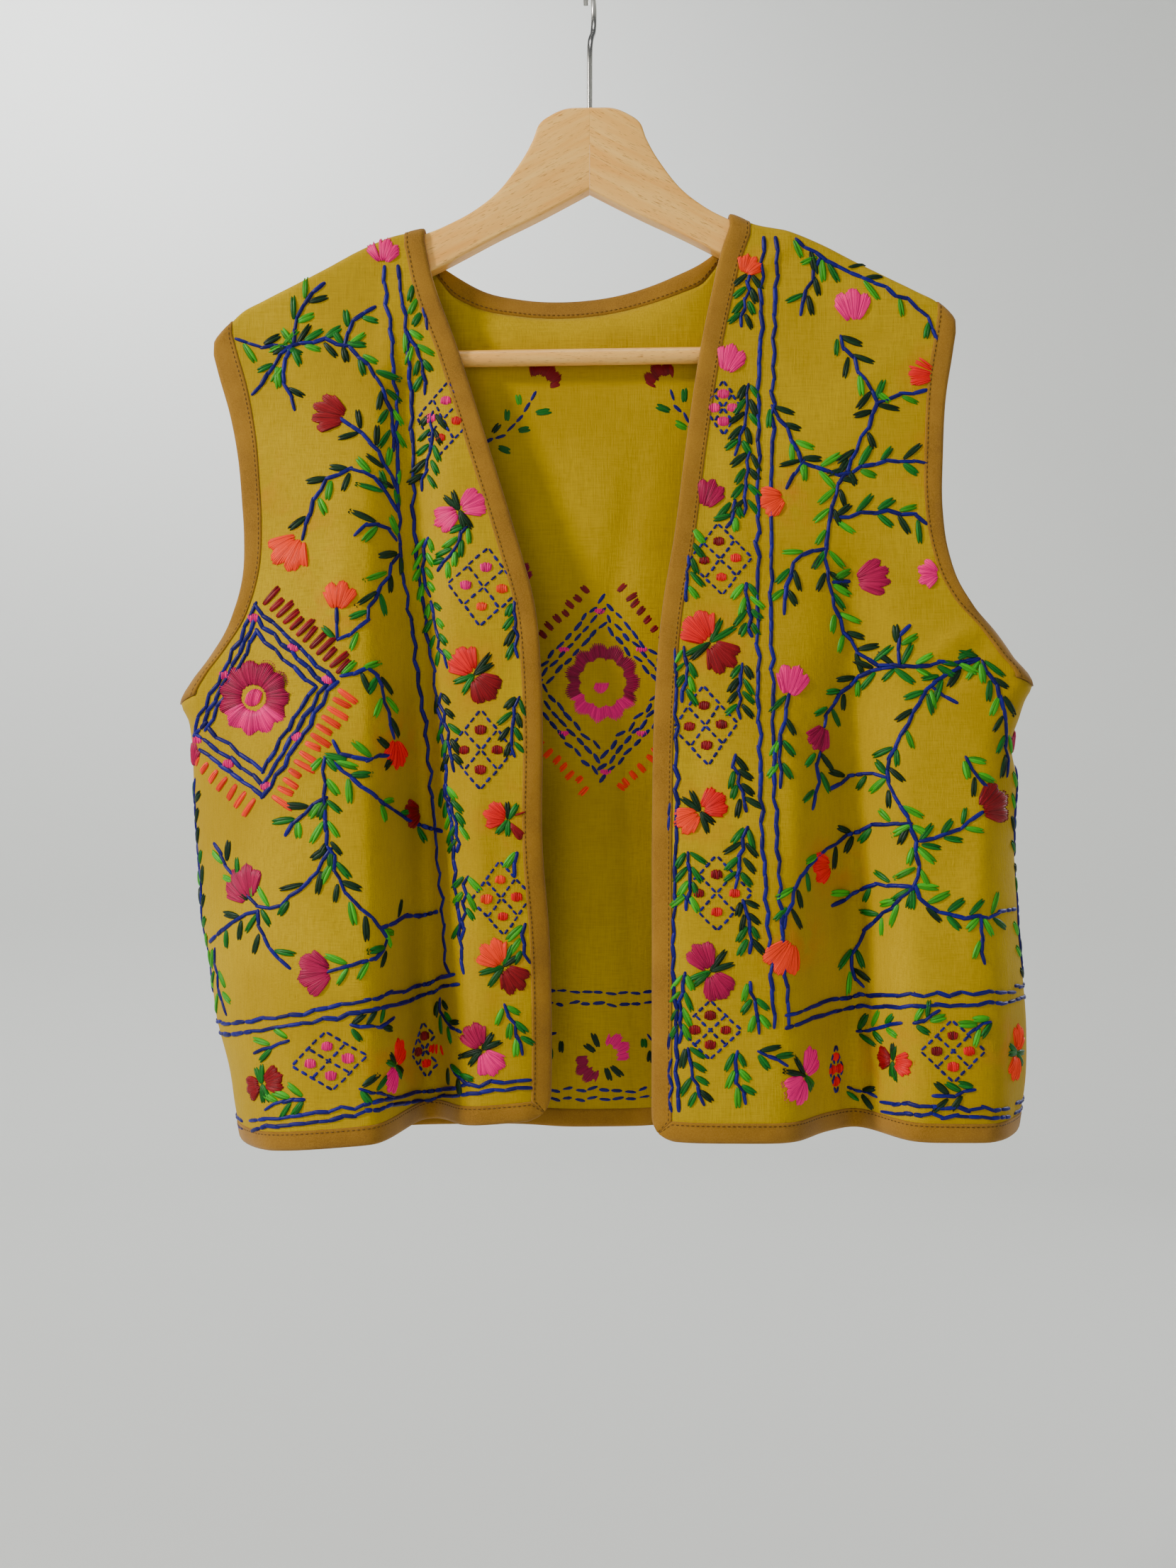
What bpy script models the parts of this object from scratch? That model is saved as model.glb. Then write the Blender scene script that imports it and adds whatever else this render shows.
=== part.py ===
"""An embroidered waistcoat on a wooden hanger, hanging from the hanger's hook.

X runs to the right as the waistcoat faces you, -Y comes towards you and +Z is up. The origin is
the inside of the hook's crown, where a rail or a peg carries the weight. The tables and the
driving sizes are in millimetres, and MM turns them to metres.
"""
import math

import bmesh
import bpy
import numpy as np

MM = 0.001

# Cloth
CLOTH_WALL = 1.5
BINDING_OVER = 0.5          # how far the folded binding stands proud of the cloth, each side
SEAM_GAP = 0.3
FRONT_BINDING = 12.0
ARMHOLE_BINDING = 11.0
HEM_BINDING = 11.0
HEM_CORNER = 15.0           # radius of the rounded corner at the foot of each centre edge
SIDE_TURN = 30.0            # width over which a front turns round to its side seam
BACK_TURN = 14.0            # the same on the flatter back
SIDE_SEAM = 3.0             # how far behind the hanger's plane the side seams hang
BACK_INSET = 3.0            # the back's armholes are cut this much further in
ARMPIT_SHARE = 0.55         # share of a panel's height that lies below the armpit
ARMPIT_CLEAR = 0.03         # share above the armpit where the armhole's slant is first read
TURN_GROWS = 0.15           # share below the armpit over which a side's turn grows
TURN_FADES = 0.12           # share above the armpit over which it goes
INSET_GROWS = 0.1           # share over which the back's inset comes, and goes at the top
PANEL_TALL = 500.0          # height of a panel near its neck
PANEL_SHORT = 480.0         # height of a panel near its shoulder's tip
SHOULDER_DOWNS = (175.0, 242.0)   # how far down the shoulder's neck end and tip lie

# Hanger
ARM_THICK = 12.0
ARM_EDGE = 2.0
JOINT_GAP = 0.3
BAR_RADIUS = 5.0
BAR_DROP = 241.0
BAR_REACH = 200.0
WIRE_RADIUS = 1.75
HOOK_RADIUS = 20.0          # inside radius of the hook
HOOK_TURN = 7.0             # degrees that the hook is twisted in the wood
SHANK_DROP = 112.0
SHANK_BEND = 62.0           # where the shank leaves the straight, below the crown
SHANK_EASE = 12.0           # how gently it does so
HOOK_START, HOOK_END = -55, 220   # degrees round the crook, from the shank to the free end
BORE_TOP = 80.0             # the shank's bore starts above the wood, at this depth
SOCKET_DEEP = 40.0          # the bar's sockets run this far along it
TILT = 0.015                # the left arm hangs this much lower for each unit outwards
CLOTH_LIFT = 3.0            # the cloth's outer face above the arm it lies on
SHOULDER_HALF = 8.6         # half the thickness of arm and cloth, measured to the outer face

# Columns: out from the middle, down from the hook's crown
ARM_TOP = [(0, 90), (14, 90.5), (24, 94.5), (31, 100), (35, 110), (42, 122.5), (55, 139.5),
           (70, 151.5), (85, 159.5), (100, 165.5), (122, 170.5), (140, 178), (162, 189.5),
           (180, 198.5), (200, 208.5)]
ARM_END = [(207, 215), (210, 225), (210, 237), (206, 247), (199, 251.5), (192, 249)]
ARM_UNDER = [(184, 240), (160, 222), (120, 200), (87, 184), (56, 168), (30, 155.5), (0, 140)]
SHOULDER_END = [(212, 212), (223, 223.5), (230, 232)]
NECK_BACK = [(-102, 176), (-87, 186), (-67, 196.5), (-44, 200.5), (-10, 201.5), (12, 199),
             (30, 195), (52, 188), (70, 180), (88, 166)]

# Each front: columns of the edges are down from the crown and out from the middle
FRONTS = {
    "left": dict(
        sign=-1, hem_centre=703, hem_side=718, armpit=456, tip=230, neck=102,
        centre=[(160, 104), (175, 100), (190, 97), (239, 80), (299, 61), (361, 42), (390, 34),
                (436, 29), (471, 28), (541, 28), (593, 24), (660, 22.5), (703, 23)],
        side=[(234, 230), (242, 229), (254, 226), (281, 218), (305, 213), (336, 209.5),
              (355, 208), (384, 209), (396, 212), (412, 219), (427, 230), (445, 244.5),
              (456, 250), (465, 246), (477, 244), (502, 243), (543, 240.5), (587, 237.5),
              (610, 233), (645, 229), (678, 220.5), (700, 217), (718, 213)]),
    "right": dict(
        sign=1, hem_centre=712, hem_side=713, armpit=444, tip=223, neck=88,
        centre=[(150, 90), (165, 85), (178, 80.5), (206, 74), (238, 67.5), (293, 59),
                (354, 51), (395, 44), (450, 39), (520, 37), (606, 36.5), (712, 36)],
        side=[(215, 223.5), (221, 223.5), (240, 221), (267, 216.5), (305, 214), (336, 213.5),
              (363, 217), (384, 224.5), (398, 234), (412, 247), (428, 259.5), (444, 271),
              (452, 267), (464, 263), (476, 259), (500, 262), (536, 260.5), (601, 264),
              (655, 268), (687, 267), (713, 262)]),
}

# Columns: down from the crown, depth of the cloth's outer face from the hanger's plane
FRONT_STAND = [(150, 8.6), (235, 8.6), (300, 12), (450, 18), (720, 22)]
BACK_STAND = [(150, 8.6), (235, 8.6), (320, 10.5), (450, 13), (720, 15)]

# Folds: out at the shoulder, out at the hem, width inwards, width outwards, rise at the hem,
# and how far down the fold starts
FOLDS = {
    "left": [(136, 132, 24, 78, 34, 215), (117, 99, 17, 17, -10, 225), (50, 53, 24, 24, 6, 330)],
    "right": [(96, 88, 62, 48, 26, 330), (150, 155, 26, 26, -9, 380), (205, 214, 40, 42, 22, 420)],
    "back": [(-60, -78, 45, 50, 7, 400), (-5, 10, 40, 34, -4, 430), (70, 92, 44, 52, 6, 380)],
}
HEM_DOWN = 715.0
NECK_LEAN = 9.0             # the back neck's free edge leans away by this much
NECK_LEAN_DEPTH = 26.0
NECK_LEAN_HALF = 60.0
NECK_MIDDLE = -8.0          # where the neck edge leans most
NECK_SPAN = (-90, 76)       # from one arm to the other
NECK_TURN = 0.28            # share of each half of the neck that turns up behind the arm
NECK_DRAW = 0.05            # how much nearer the middle the panel's top is drawn there


def lerp(a, b, t):
    return a + (b - a) * t


def ease(t):
    t = min(max(t, 0.0), 1.0)
    return t * t * (3 - 2 * t)


def through(table):
    """A smooth curve through a two-column table, carried on straight past its ends."""
    xs = np.array([row[0] for row in table], float)
    ys = np.array([row[1] for row in table], float)
    slopes = np.gradient(ys, xs)

    def at(x):
        if x <= xs[0]:
            return ys[0] + slopes[0] * (x - xs[0])
        if x >= xs[-1]:
            return ys[-1] + slopes[-1] * (x - xs[-1])
        i = int(np.searchsorted(xs, x)) - 1
        h = xs[i + 1] - xs[i]
        t = (x - xs[i]) / h
        return ((1 + 2 * t) * (1 - t) ** 2 * ys[i] + t * (1 - t) ** 2 * h * slopes[i]
                + t * t * (3 - 2 * t) * ys[i + 1] + t * t * (t - 1) * h * slopes[i + 1])

    return at


def rounded(share):
    """The square-shouldered quarter turn of cloth over an arm: depth left, height gained."""
    angle = share * math.pi / 2
    across = math.cos(angle)
    return math.copysign(abs(across) ** 0.5, across), abs(math.sin(angle)) ** 0.5


shoulder_top = through([(out, down - CLOTH_LIFT) for out, down in ARM_TOP[8:]] + SHOULDER_END)
neck_back = through(NECK_BACK)
front_stand = through(FRONT_STAND)
back_stand = through(BACK_STAND)


def shoulder_down(x):
    """How far below the crown the cloth's shoulder line runs, at x."""
    return shoulder_top(abs(x)) - TILT * x


def folds(name, across, down):
    """How far the folds push the cloth out of its plane at one point."""
    total = 0.0
    for top, hem, inward, outward, rise, start in FOLDS[name]:
        grown = ease((down - start) / (HEM_DOWN - start)) ** 0.8 if down > start else 0.0
        away = across - lerp(top, hem, (down - start) / (HEM_DOWN - start))
        width = outward if away > 0 else inward
        total += rise * grown * math.exp(-(away / width) ** 4)
    return total


def between(edge_a, edge_b, top):
    """A panel's flat shape: it fills the space between two edges, a straight hem and a top."""
    def place(u, v):
        (xa, za), (xb, zb) = edge_a(v), edge_b(v)
        (xc, zc), (xd, zd) = edge_a(1.0), edge_b(1.0)
        rise = top(lerp(xc, xd, u)) - lerp(zc, zd, u)
        return lerp(xa, xb, u), lerp(za, zb, u) + v * rise

    return place


def slant(curve, down):
    """How much wider a strip gets when it is measured level instead of square to an edge."""
    slope = (curve(down + 5) - curve(down - 5)) / 10
    return min(math.hypot(1, slope), 1.35)


class Front:
    """One front with its bindings: u runs from the centre edge to the side, v from hem to
    shoulder, and v from 1 to 2 goes over the hanger's arm to the shoulder seam."""

    def __init__(self, name):
        data = FRONTS[name]
        self.name = name
        self.sign = data["sign"]
        self.turn = data["sign"]
        self.centre = through(data["centre"])
        self.side = through(data["side"])
        self.data = data
        self.place = between(self.centre_edge, self.side_edge, self.shoulder)
        self.neck_edge = abs(self.centre_edge(1.0)[0])

    def centre_down(self, v):
        neck = shoulder_down(self.sign * self.data["neck"]) + SHOULDER_HALF
        return lerp(self.data["hem_centre"], neck, v)

    def side_down(self, v):
        armpit = self.data["armpit"]
        tip = shoulder_down(self.sign * self.data["tip"]) + SHOULDER_HALF
        if v < ARMPIT_SHARE:
            return lerp(self.data["hem_side"], armpit, v / ARMPIT_SHARE)
        return lerp(armpit, tip, (v - ARMPIT_SHARE) / (1 - ARMPIT_SHARE))

    def centre_edge(self, v):
        down = self.centre_down(v)
        return self.sign * self.centre(down), -down

    def side_edge(self, v):
        down = self.side_down(v)
        return self.sign * self.side(down), -down

    def shoulder(self, x):
        return -shoulder_down(x) - SHOULDER_HALF

    def width(self, v):
        return abs(self.side_edge(v)[0] - self.centre_edge(v)[0])

    def height(self, u):
        return lerp(self.data["hem_centre"], self.data["hem_side"], u) - lerp(*SHOULDER_DOWNS, u)

    def centre_share(self, v):
        """Where the front binding's inner edge runs."""
        v = min(v, 1.0)
        return FRONT_BINDING * slant(self.centre, self.centre_down(v)) / self.width(v)

    def turn_share(self, v):
        """Where the armhole binding starts, and below the armpit the turn to the side seam."""
        v = min(v, 1.0)
        down = self.side_down(max(v, ARMPIT_SHARE + ARMPIT_CLEAR))
        wide = ARMHOLE_BINDING * slant(self.side, down)
        wide = lerp(wide, SIDE_TURN, ease((ARMPIT_SHARE - v) / TURN_GROWS))
        return 1 - wide / self.width(v)

    def round_corner(self, u, v):
        """Rounds the foot of the centre edge, as a square is pressed into a quarter circle."""
        p = 1 - u * self.width(0) / HEM_CORNER
        q = 1 - v * self.height(0) / HEM_CORNER
        if p <= 0 or q <= 0:
            return u, v
        p, q = p * math.sqrt(1 - q * q / 2), q * math.sqrt(1 - p * p / 2)
        return (1 - p) * HEM_CORNER / self.width(0), (1 - q) * HEM_CORNER / self.height(0)

    def point(self, u, v):
        flat_u, flat_v = self.round_corner(u, min(v, 1.0))
        start = self.turn_share(flat_v)
        turned = 1 - ease((flat_v - ARMPIT_SHARE) / TURN_FADES)
        angle = max(0.0, (flat_u - start) / (1 - start)) * math.pi / 2
        flat_u = lerp(flat_u, start + (1 - start) * math.sin(angle), turned) if angle else flat_u
        x, z = self.place(flat_u, flat_v)
        depth = front_stand(-z) + folds(self.name, abs(x), -z)
        seam = -SIDE_SEAM + SEAM_GAP / 2
        depth = lerp(depth, lerp(seam, depth, math.cos(angle)), turned)
        if v > 1:
            kept, gained = rounded(v - 1)
            depth = SEAM_GAP / 2 + (depth - SEAM_GAP / 2) * kept
            z += SHOULDER_HALF * gained
        return np.array([x, -depth, z])


class Back:
    """The back with its bindings: u runs from the left side to the right, v as on a front."""

    def __init__(self, left, right):
        self.left, self.right = left, right
        self.turn = -1.0
        self.place = between(self.left_edge, self.right_edge, self.top)

    def edge(self, front, v):
        x, z = front.side_edge(v)
        grown = ease((v - ARMPIT_SHARE) / INSET_GROWS)
        gone = ease((v - (1 - INSET_GROWS)) / INSET_GROWS)
        return x - front.sign * BACK_INSET * grown * (1 - gone), z

    def left_edge(self, v):
        return self.edge(self.left, v)

    def right_edge(self, v):
        return self.edge(self.right, v)

    def neck_corner(self, front):
        """Where the neck binding meets the panel on the shoulder line."""
        return front.sign * (front.neck_edge + FRONT_BINDING + SEAM_GAP)

    def top(self, x):
        """The panel's top: behind the arms, and along the neck binding between them."""
        low, high = self.neck_corner(self.left), self.neck_corner(self.right)
        if x < low or x > high:
            return -shoulder_down(x) - SHOULDER_HALF
        middle = (low + high) / 2
        share = abs(x - middle) / (high - middle)
        inner = neck_back(x * (1 - NECK_DRAW * share)) + FRONT_BINDING
        corner = shoulder_down(low if x < middle else high) + SHOULDER_HALF
        return -lerp(inner, corner, ease((share - (1 - NECK_TURN)) / NECK_TURN))

    def width(self, v):
        return self.right_edge(v)[0] - self.left_edge(v)[0]

    def turn_shares(self, v):
        """Where the turns to the side seams, or the armhole bindings, begin."""
        shares = []
        for front in (self.left, self.right):
            down = front.side_down(max(v, ARMPIT_SHARE + ARMPIT_CLEAR))
            wide = ARMHOLE_BINDING * slant(front.side, down)
            wide = lerp(wide, BACK_TURN, ease((ARMPIT_SHARE - v) / TURN_GROWS))
            shares.append(wide / self.width(v))
        return shares[0], 1 - shares[1]

    def point(self, u, v):
        flat_v = min(v, 1.0)
        low, high = self.turn_shares(flat_v)
        turned = 1 - ease((flat_v - ARMPIT_SHARE) / TURN_FADES)
        angle = 0.0
        flat_u = u
        if u < low:
            angle = (low - u) / low * math.pi / 2
            flat_u = lerp(u, low * (1 - math.sin(angle)), turned)
        if u > high:
            angle = (u - high) / (1 - high) * math.pi / 2
            flat_u = lerp(u, high + (1 - high) * math.sin(angle), turned)
        x, z = self.place(flat_u, flat_v)
        depth = self.depth(x, z)
        seam = SIDE_SEAM + SEAM_GAP / 2
        depth = lerp(depth, lerp(seam, depth, math.cos(angle)), turned)
        if v > 1:
            kept, gained = rounded(v - 1)
            depth = SEAM_GAP / 2 + (depth - SEAM_GAP / 2) * kept
            z += SHOULDER_HALF * gained
        return np.array([x, depth, z])

    def depth(self, x, z):
        """How far behind the hanger's plane the cloth hangs. Its free neck edge leans away."""
        below = -z - neck_back(min(max(x, NECK_SPAN[0]), NECK_SPAN[1]))
        near = ease(1 - below / NECK_LEAN_DEPTH)
        lean = NECK_LEAN * near * math.exp(-((x - NECK_MIDDLE) / NECK_LEAN_HALF) ** 4)
        return back_stand(-z) + folds("back", x, -z) + lean


def outward(point, a, b, turn, step=1e-4):
    """The direction that the cloth's outer face looks in, at a and b on a surface."""
    along_a = point(a + step, b) - point(a - step, b)
    along_b = point(a, b + step) - point(a, b - step)
    normal = np.cross(along_a, along_b) * turn
    return normal / np.linalg.norm(normal)


def material(name, colour, roughness, metallic=0.0):
    made = bpy.data.materials.new(name)
    made.use_nodes = True
    shader = made.node_tree.nodes["Principled BSDF"]
    shader.inputs["Base Color"].default_value = (*colour, 1.0)
    shader.inputs["Roughness"].default_value = roughness
    shader.inputs["Metallic"].default_value = metallic
    return made


COTTON = material("mustard_cotton", (0.60, 0.37, 0.01), 0.85)
BRUSHED = material("ochre_binding", (0.38, 0.20, 0.03), 0.9)
BEECH = material("beech", (0.74, 0.45, 0.19), 0.5)
NICKEL = material("nickel_wire", (0.72, 0.71, 0.69), 0.25, 1.0)


def add(name, shape, finish):
    """Puts a closed bmesh into the scene as one named solid."""
    bmesh.ops.recalc_face_normals(shape, faces=shape.faces)
    mesh = bpy.data.meshes.new(name)
    shape.to_mesh(mesh)
    shape.free()
    mesh.materials.append(finish)
    made = bpy.data.objects.new(name, mesh)
    bpy.context.scene.collection.objects.link(made)
    return made


def wall(name, points, normals, over, under, finish, used=None):
    """A closed wall on a grid of points: over and under are its faces' distances from them."""
    shape = bmesh.new()
    rows, columns = len(points), len(points[0])
    faces = [(i, j) for i in range(rows - 1) for j in range(columns - 1)
             if used is None or used(i, j)]
    corners = sorted({(i + a, j + b) for i, j in faces for a in (0, 1) for b in (0, 1)})
    outer = {k: shape.verts.new((points[k[0]][k[1]] + over * normals[k[0]][k[1]]) * MM)
             for k in corners}
    inner = {k: shape.verts.new((points[k[0]][k[1]] - under * normals[k[0]][k[1]]) * MM)
             for k in corners}
    edges = {}
    for i, j in faces:
        loop = [(i, j), (i, j + 1), (i + 1, j + 1), (i + 1, j)]
        shape.faces.new([outer[k] for k in loop])
        shape.faces.new([inner[k] for k in reversed(loop)])
        for a, b in zip(loop, loop[1:] + loop[:1]):
            edges[(a, b)] = True
    for a, b in edges:
        if (b, a) not in edges:
            shape.faces.new([outer[b], outer[a], inner[a], inner[b]])
    return add(name, shape, finish)


def sewn(name, panel, levels, shares, finish, used=None):
    """A piece cut from a panel: rows at the levels, columns at the shares of each level."""
    binding = finish is BRUSHED
    over = BINDING_OVER if binding else 0.0
    under = CLOTH_WALL + over
    grid = [[(u, v) for u in shares(v)] for v in levels]
    points = [[panel.point(u, v) for u, v in row] for row in grid]
    normals = [[outward(panel.point, u, v, panel.turn) for u, v in row] for row in grid]
    return wall(name, points, normals, over, under, finish, used)


def spread(start, end, count):
    return [lerp(start, end, i / count) for i in range(count + 1)]


# The cloth's levels: the armpit's level is one of them, and the last ones go over the arm
HEM_SHARE = HEM_BINDING / PANEL_TALL
GAP_SHARE = SEAM_GAP / PANEL_SHORT
BELOW_ARMPIT = spread(HEM_SHARE + GAP_SHARE, ARMPIT_SHARE, 12)
ABOVE_ARMPIT = spread(ARMPIT_SHARE, 1.0, 11)[1:]
OVER_ARM = spread(1.0, 2.0, 5)[1:]
PANEL_LEVELS = BELOW_ARMPIT + ABOVE_ARMPIT + OVER_ARM
ARMHOLE_LEVELS = [ARMPIT_SHARE + 2.5 * GAP_SHARE] + ABOVE_ARMPIT + OVER_ARM
FLAT_COLUMNS = 20
TURN_COLUMNS = 5
NECK_COLUMNS = 14


def make_front(panel):
    """A front panel, and its bindings up the centre edge, along the hem and at the armhole."""
    below = len(BELOW_ARMPIT) - 1

    def panel_shares(v):
        gap = SEAM_GAP / panel.width(min(v, 1))
        start = panel.centre_share(v) + gap
        turn = panel.turn_share(v) - 1.5 * gap
        return spread(start, turn, FLAT_COLUMNS) + spread(turn, 1.0, TURN_COLUMNS)[1:]

    def centre_shares(v):
        end = panel.centre_share(v) * min(1.0, v / HEM_SHARE)
        return spread(0.0, end, 2)

    def hem_shares(v):
        gap = 2 * SEAM_GAP / panel.width(0)
        start = panel.centre_share(v) * v / HEM_SHARE + gap
        turn = panel.turn_share(v)
        return spread(start, turn, FLAT_COLUMNS) + spread(turn, 1.0, TURN_COLUMNS)[1:]

    def armhole_shares(v):
        return spread(panel.turn_share(v), 1.0, 2)

    name = panel.name
    sewn(f"front_{name}", panel, PANEL_LEVELS, panel_shares, COTTON,
         lambda i, j: j < FLAT_COLUMNS or i < below)
    foot = [0.15 * HEM_SHARE, 0.5 * HEM_SHARE, HEM_SHARE]
    sewn(f"binding_front_{name}", panel, foot + PANEL_LEVELS[1:], centre_shares, BRUSHED)
    sewn(f"binding_hem_{name}", panel, [0.0, HEM_SHARE / 2, HEM_SHARE], hem_shares, BRUSHED)
    sewn(f"binding_armhole_front_{name}", panel, ARMHOLE_LEVELS, armhole_shares, BRUSHED)


def make_back(panel):
    """The back panel, its hem and armhole bindings and the neck binding."""
    turn_columns, shoulder_columns = 4, 8
    first = turn_columns + shoulder_columns
    last = first + NECK_COLUMNS
    below, behind = len(BELOW_ARMPIT) - 1, len(BELOW_ARMPIT) + len(ABOVE_ARMPIT) - 1

    def shares(v):
        flat = min(v, 1.0)
        gap = SEAM_GAP / panel.width(flat)
        low, high = panel.turn_shares(flat)
        low, high = low + 1.5 * gap, high - 1.5 * gap
        left = panel.left_edge(1.0)[0]
        corners = [(panel.neck_corner(front) - left) / panel.width(1.0)
                   for front in (panel.left, panel.right)]
        return (spread(0.0, low, turn_columns) + spread(low, corners[0], shoulder_columns)[1:]
                + spread(corners[0], corners[1], NECK_COLUMNS)[1:]
                + spread(corners[1], high, shoulder_columns)[1:]
                + spread(high, 1.0, turn_columns)[1:])

    def used(i, j):
        in_turn = j < turn_columns or j >= last + shoulder_columns
        in_neck = first <= j < last
        return not (in_turn and i >= below) and not (in_neck and i >= behind)

    sewn("back", panel, PANEL_LEVELS, shares, COTTON, used)
    sewn("binding_hem_back", panel, [0.0, HEM_SHARE], shares, BRUSHED)
    sewn("binding_armhole_back_left", panel, ARMHOLE_LEVELS,
         lambda v: spread(0.0, panel.turn_shares(min(v, 1))[0], 2), BRUSHED)
    sewn("binding_armhole_back_right", panel, ARMHOLE_LEVELS,
         lambda v: spread(panel.turn_shares(min(v, 1))[1], 1.0, 2), BRUSHED)
    make_neck_binding(panel)


def make_neck_binding(panel):
    """The strip round the back neck, up behind each arm and over it to the shoulder seams."""
    def over_arm(x, share):
        kept, gained = rounded(share)
        depth = SEAM_GAP / 2 + (SHOULDER_HALF - SEAM_GAP / 2) * kept
        return np.array([x, depth, -shoulder_down(x) - SHOULDER_HALF * (1 - gained)])

    def behind(x, z):
        return np.array([x, panel.depth(x, z), z])

    def row(point, places):
        return ([point(a, b) for a, b in places],
                [outward(point, a, b, panel.turn) for a, b in places])

    def seat(front, share):
        outs = spread(front.neck_edge, front.neck_edge + FRONT_BINDING, 2)
        return row(over_arm, [(front.sign * out, share) for out in outs])

    turns = spread(0.002, 1.0, 5)
    rows = [seat(panel.left, share) for share in reversed(turns)]
    free_ends = [front.sign * front.neck_edge for front in (panel.left, panel.right)]
    held_ends = [panel.neck_corner(front) for front in (panel.left, panel.right)]
    for i in range(1, NECK_COLUMNS):
        free_x, held_x = lerp(*free_ends, i / NECK_COLUMNS), lerp(*held_ends, i / NECK_COLUMNS)
        free = np.array([free_x, -neck_back(free_x)])
        held = np.array([held_x, panel.top(held_x)])
        run = (panel.top(held_x + 3) - panel.top(held_x - 3)) / 6
        held += 1.3 * SEAM_GAP * np.array([-run, 1.0]) / math.hypot(run, 1.0)
        rows.append(row(behind, [lerp(free, held, share) for share in (0.0, 0.5, 1.0)]))
    rows += [seat(panel.right, share) for share in turns]
    points, normals = zip(*rows)
    wall("binding_neck_back", points, normals, BINDING_OVER, CLOTH_WALL + BINDING_OVER, BRUSHED)


def cylinder(name, start, end, radius, finish=None, sides=24):
    """A round bar between two points. One with no finish is a cutter, and isn't part of it."""
    shape = bmesh.new()
    run = np.array(end, float) - np.array(start, float)
    side = np.cross(run, (0, 1, 0) if abs(run[1]) < abs(run[2]) + abs(run[0]) else (1, 0, 0))
    side /= np.linalg.norm(side)
    other = np.cross(run / np.linalg.norm(run), side)
    rings = []
    for centre in (start, end):
        ring = []
        for k in range(sides):
            angle = 2 * math.pi * k / sides
            offset = radius * (math.cos(angle) * side + math.sin(angle) * other)
            ring.append(shape.verts.new((np.array(centre, float) + offset) * MM))
        rings.append(ring)
    for k in range(sides):
        shape.faces.new([rings[0][k], rings[0][k - 1], rings[1][k - 1], rings[1][k]])
    shape.faces.new(rings[0])
    shape.faces.new(list(reversed(rings[1])))
    made = add(name, shape, finish or BEECH)
    if finish is None:
        made.hide_render = True
        made.display_type = "WIRE"
    return made


def cut(target, cutter):
    modifier = target.modifiers.new(f"cut_{cutter.name}", "BOOLEAN")
    modifier.operation = "DIFFERENCE"
    modifier.object = cutter


def hanger_point(out, down, sign):
    return sign * out, -(down - sign * TILT * out)


def smooth_outline(rows, per_span):
    """Points along a smooth curve through the rows, per_span to each stretch."""
    rows = np.array(rows, float)
    ends = np.vstack([2 * rows[0] - rows[1], rows, 2 * rows[-1] - rows[-2]])
    points = []
    for a, b, c, d in zip(ends, ends[1:], ends[2:], ends[3:]):
        for k in range(per_span):
            t = k / per_span
            points.append(0.5 * (2 * b + (c - a) * t + (2 * a - 5 * b + 4 * c - d) * t * t
                                 + (3 * b - a - 3 * c + d) * t ** 3))
    return points + [rows[-1]]


def make_arm(name, sign):
    """One beech half: sawn to the outline, its long edges rounded over, its joint face flat."""
    outline = smooth_outline(ARM_TOP + ARM_END + ARM_UNDER, 2)
    shape = bmesh.new()
    flat = []
    for out, down in outline:
        x, z = hanger_point(max(out, JOINT_GAP / 2), down, sign)
        flat.append(shape.verts.new((x * MM, -ARM_THICK / 2 * MM, z * MM)))
    face = shape.faces.new(flat)
    moved = bmesh.ops.extrude_face_region(shape, geom=[face])["geom"]
    verts = [part for part in moved if isinstance(part, bmesh.types.BMVert)]
    bmesh.ops.translate(shape, vec=(0, ARM_THICK * MM, 0), verts=verts)
    bmesh.ops.recalc_face_normals(shape, faces=shape.faces)
    at_joint = (JOINT_GAP / 2 + 0.01) * MM
    rims = [edge for edge in shape.edges
            if abs(edge.verts[0].co.y - edge.verts[1].co.y) < 1e-7
            and max(abs(vert.co.x) for vert in edge.verts) > at_joint]
    bmesh.ops.bevel(shape, geom=rims, offset=ARM_EDGE * MM, segments=2, profile=0.5,
                    affect="EDGES", clamp_overlap=True)
    return add(name, shape, BEECH)


def make_hanger():
    """The two arms, the bar dowelled into both, and the wire hook in their joint."""
    arms = {-1: make_arm("hanger_arm_left", -1), 1: make_arm("hanger_arm_right", 1)}
    ends = [(sign * BAR_REACH, 0, -(BAR_DROP - sign * TILT * BAR_REACH)) for sign in (-1, 1)]
    cylinder("hanger_bar", *ends, BAR_RADIUS, BEECH)
    for sign, arm in arms.items():
        side = "left" if sign < 0 else "right"
        inner, outer = [(sign * out, 0, -(BAR_DROP - sign * TILT * out))
                        for out in (BAR_REACH - SOCKET_DEEP, BAR_REACH + SEAM_GAP)]
        cut(arm, cylinder(f"socket_{side}", inner, outer, BAR_RADIUS + SEAM_GAP))
        bore = cylinder(f"bore_{side}", (0, 0, -BORE_TOP), (0, 0, -SHANK_DROP - SEAM_GAP),
                        WIRE_RADIUS + SEAM_GAP, sides=16)
        cut(arm, bore)
    make_hook()


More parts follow.
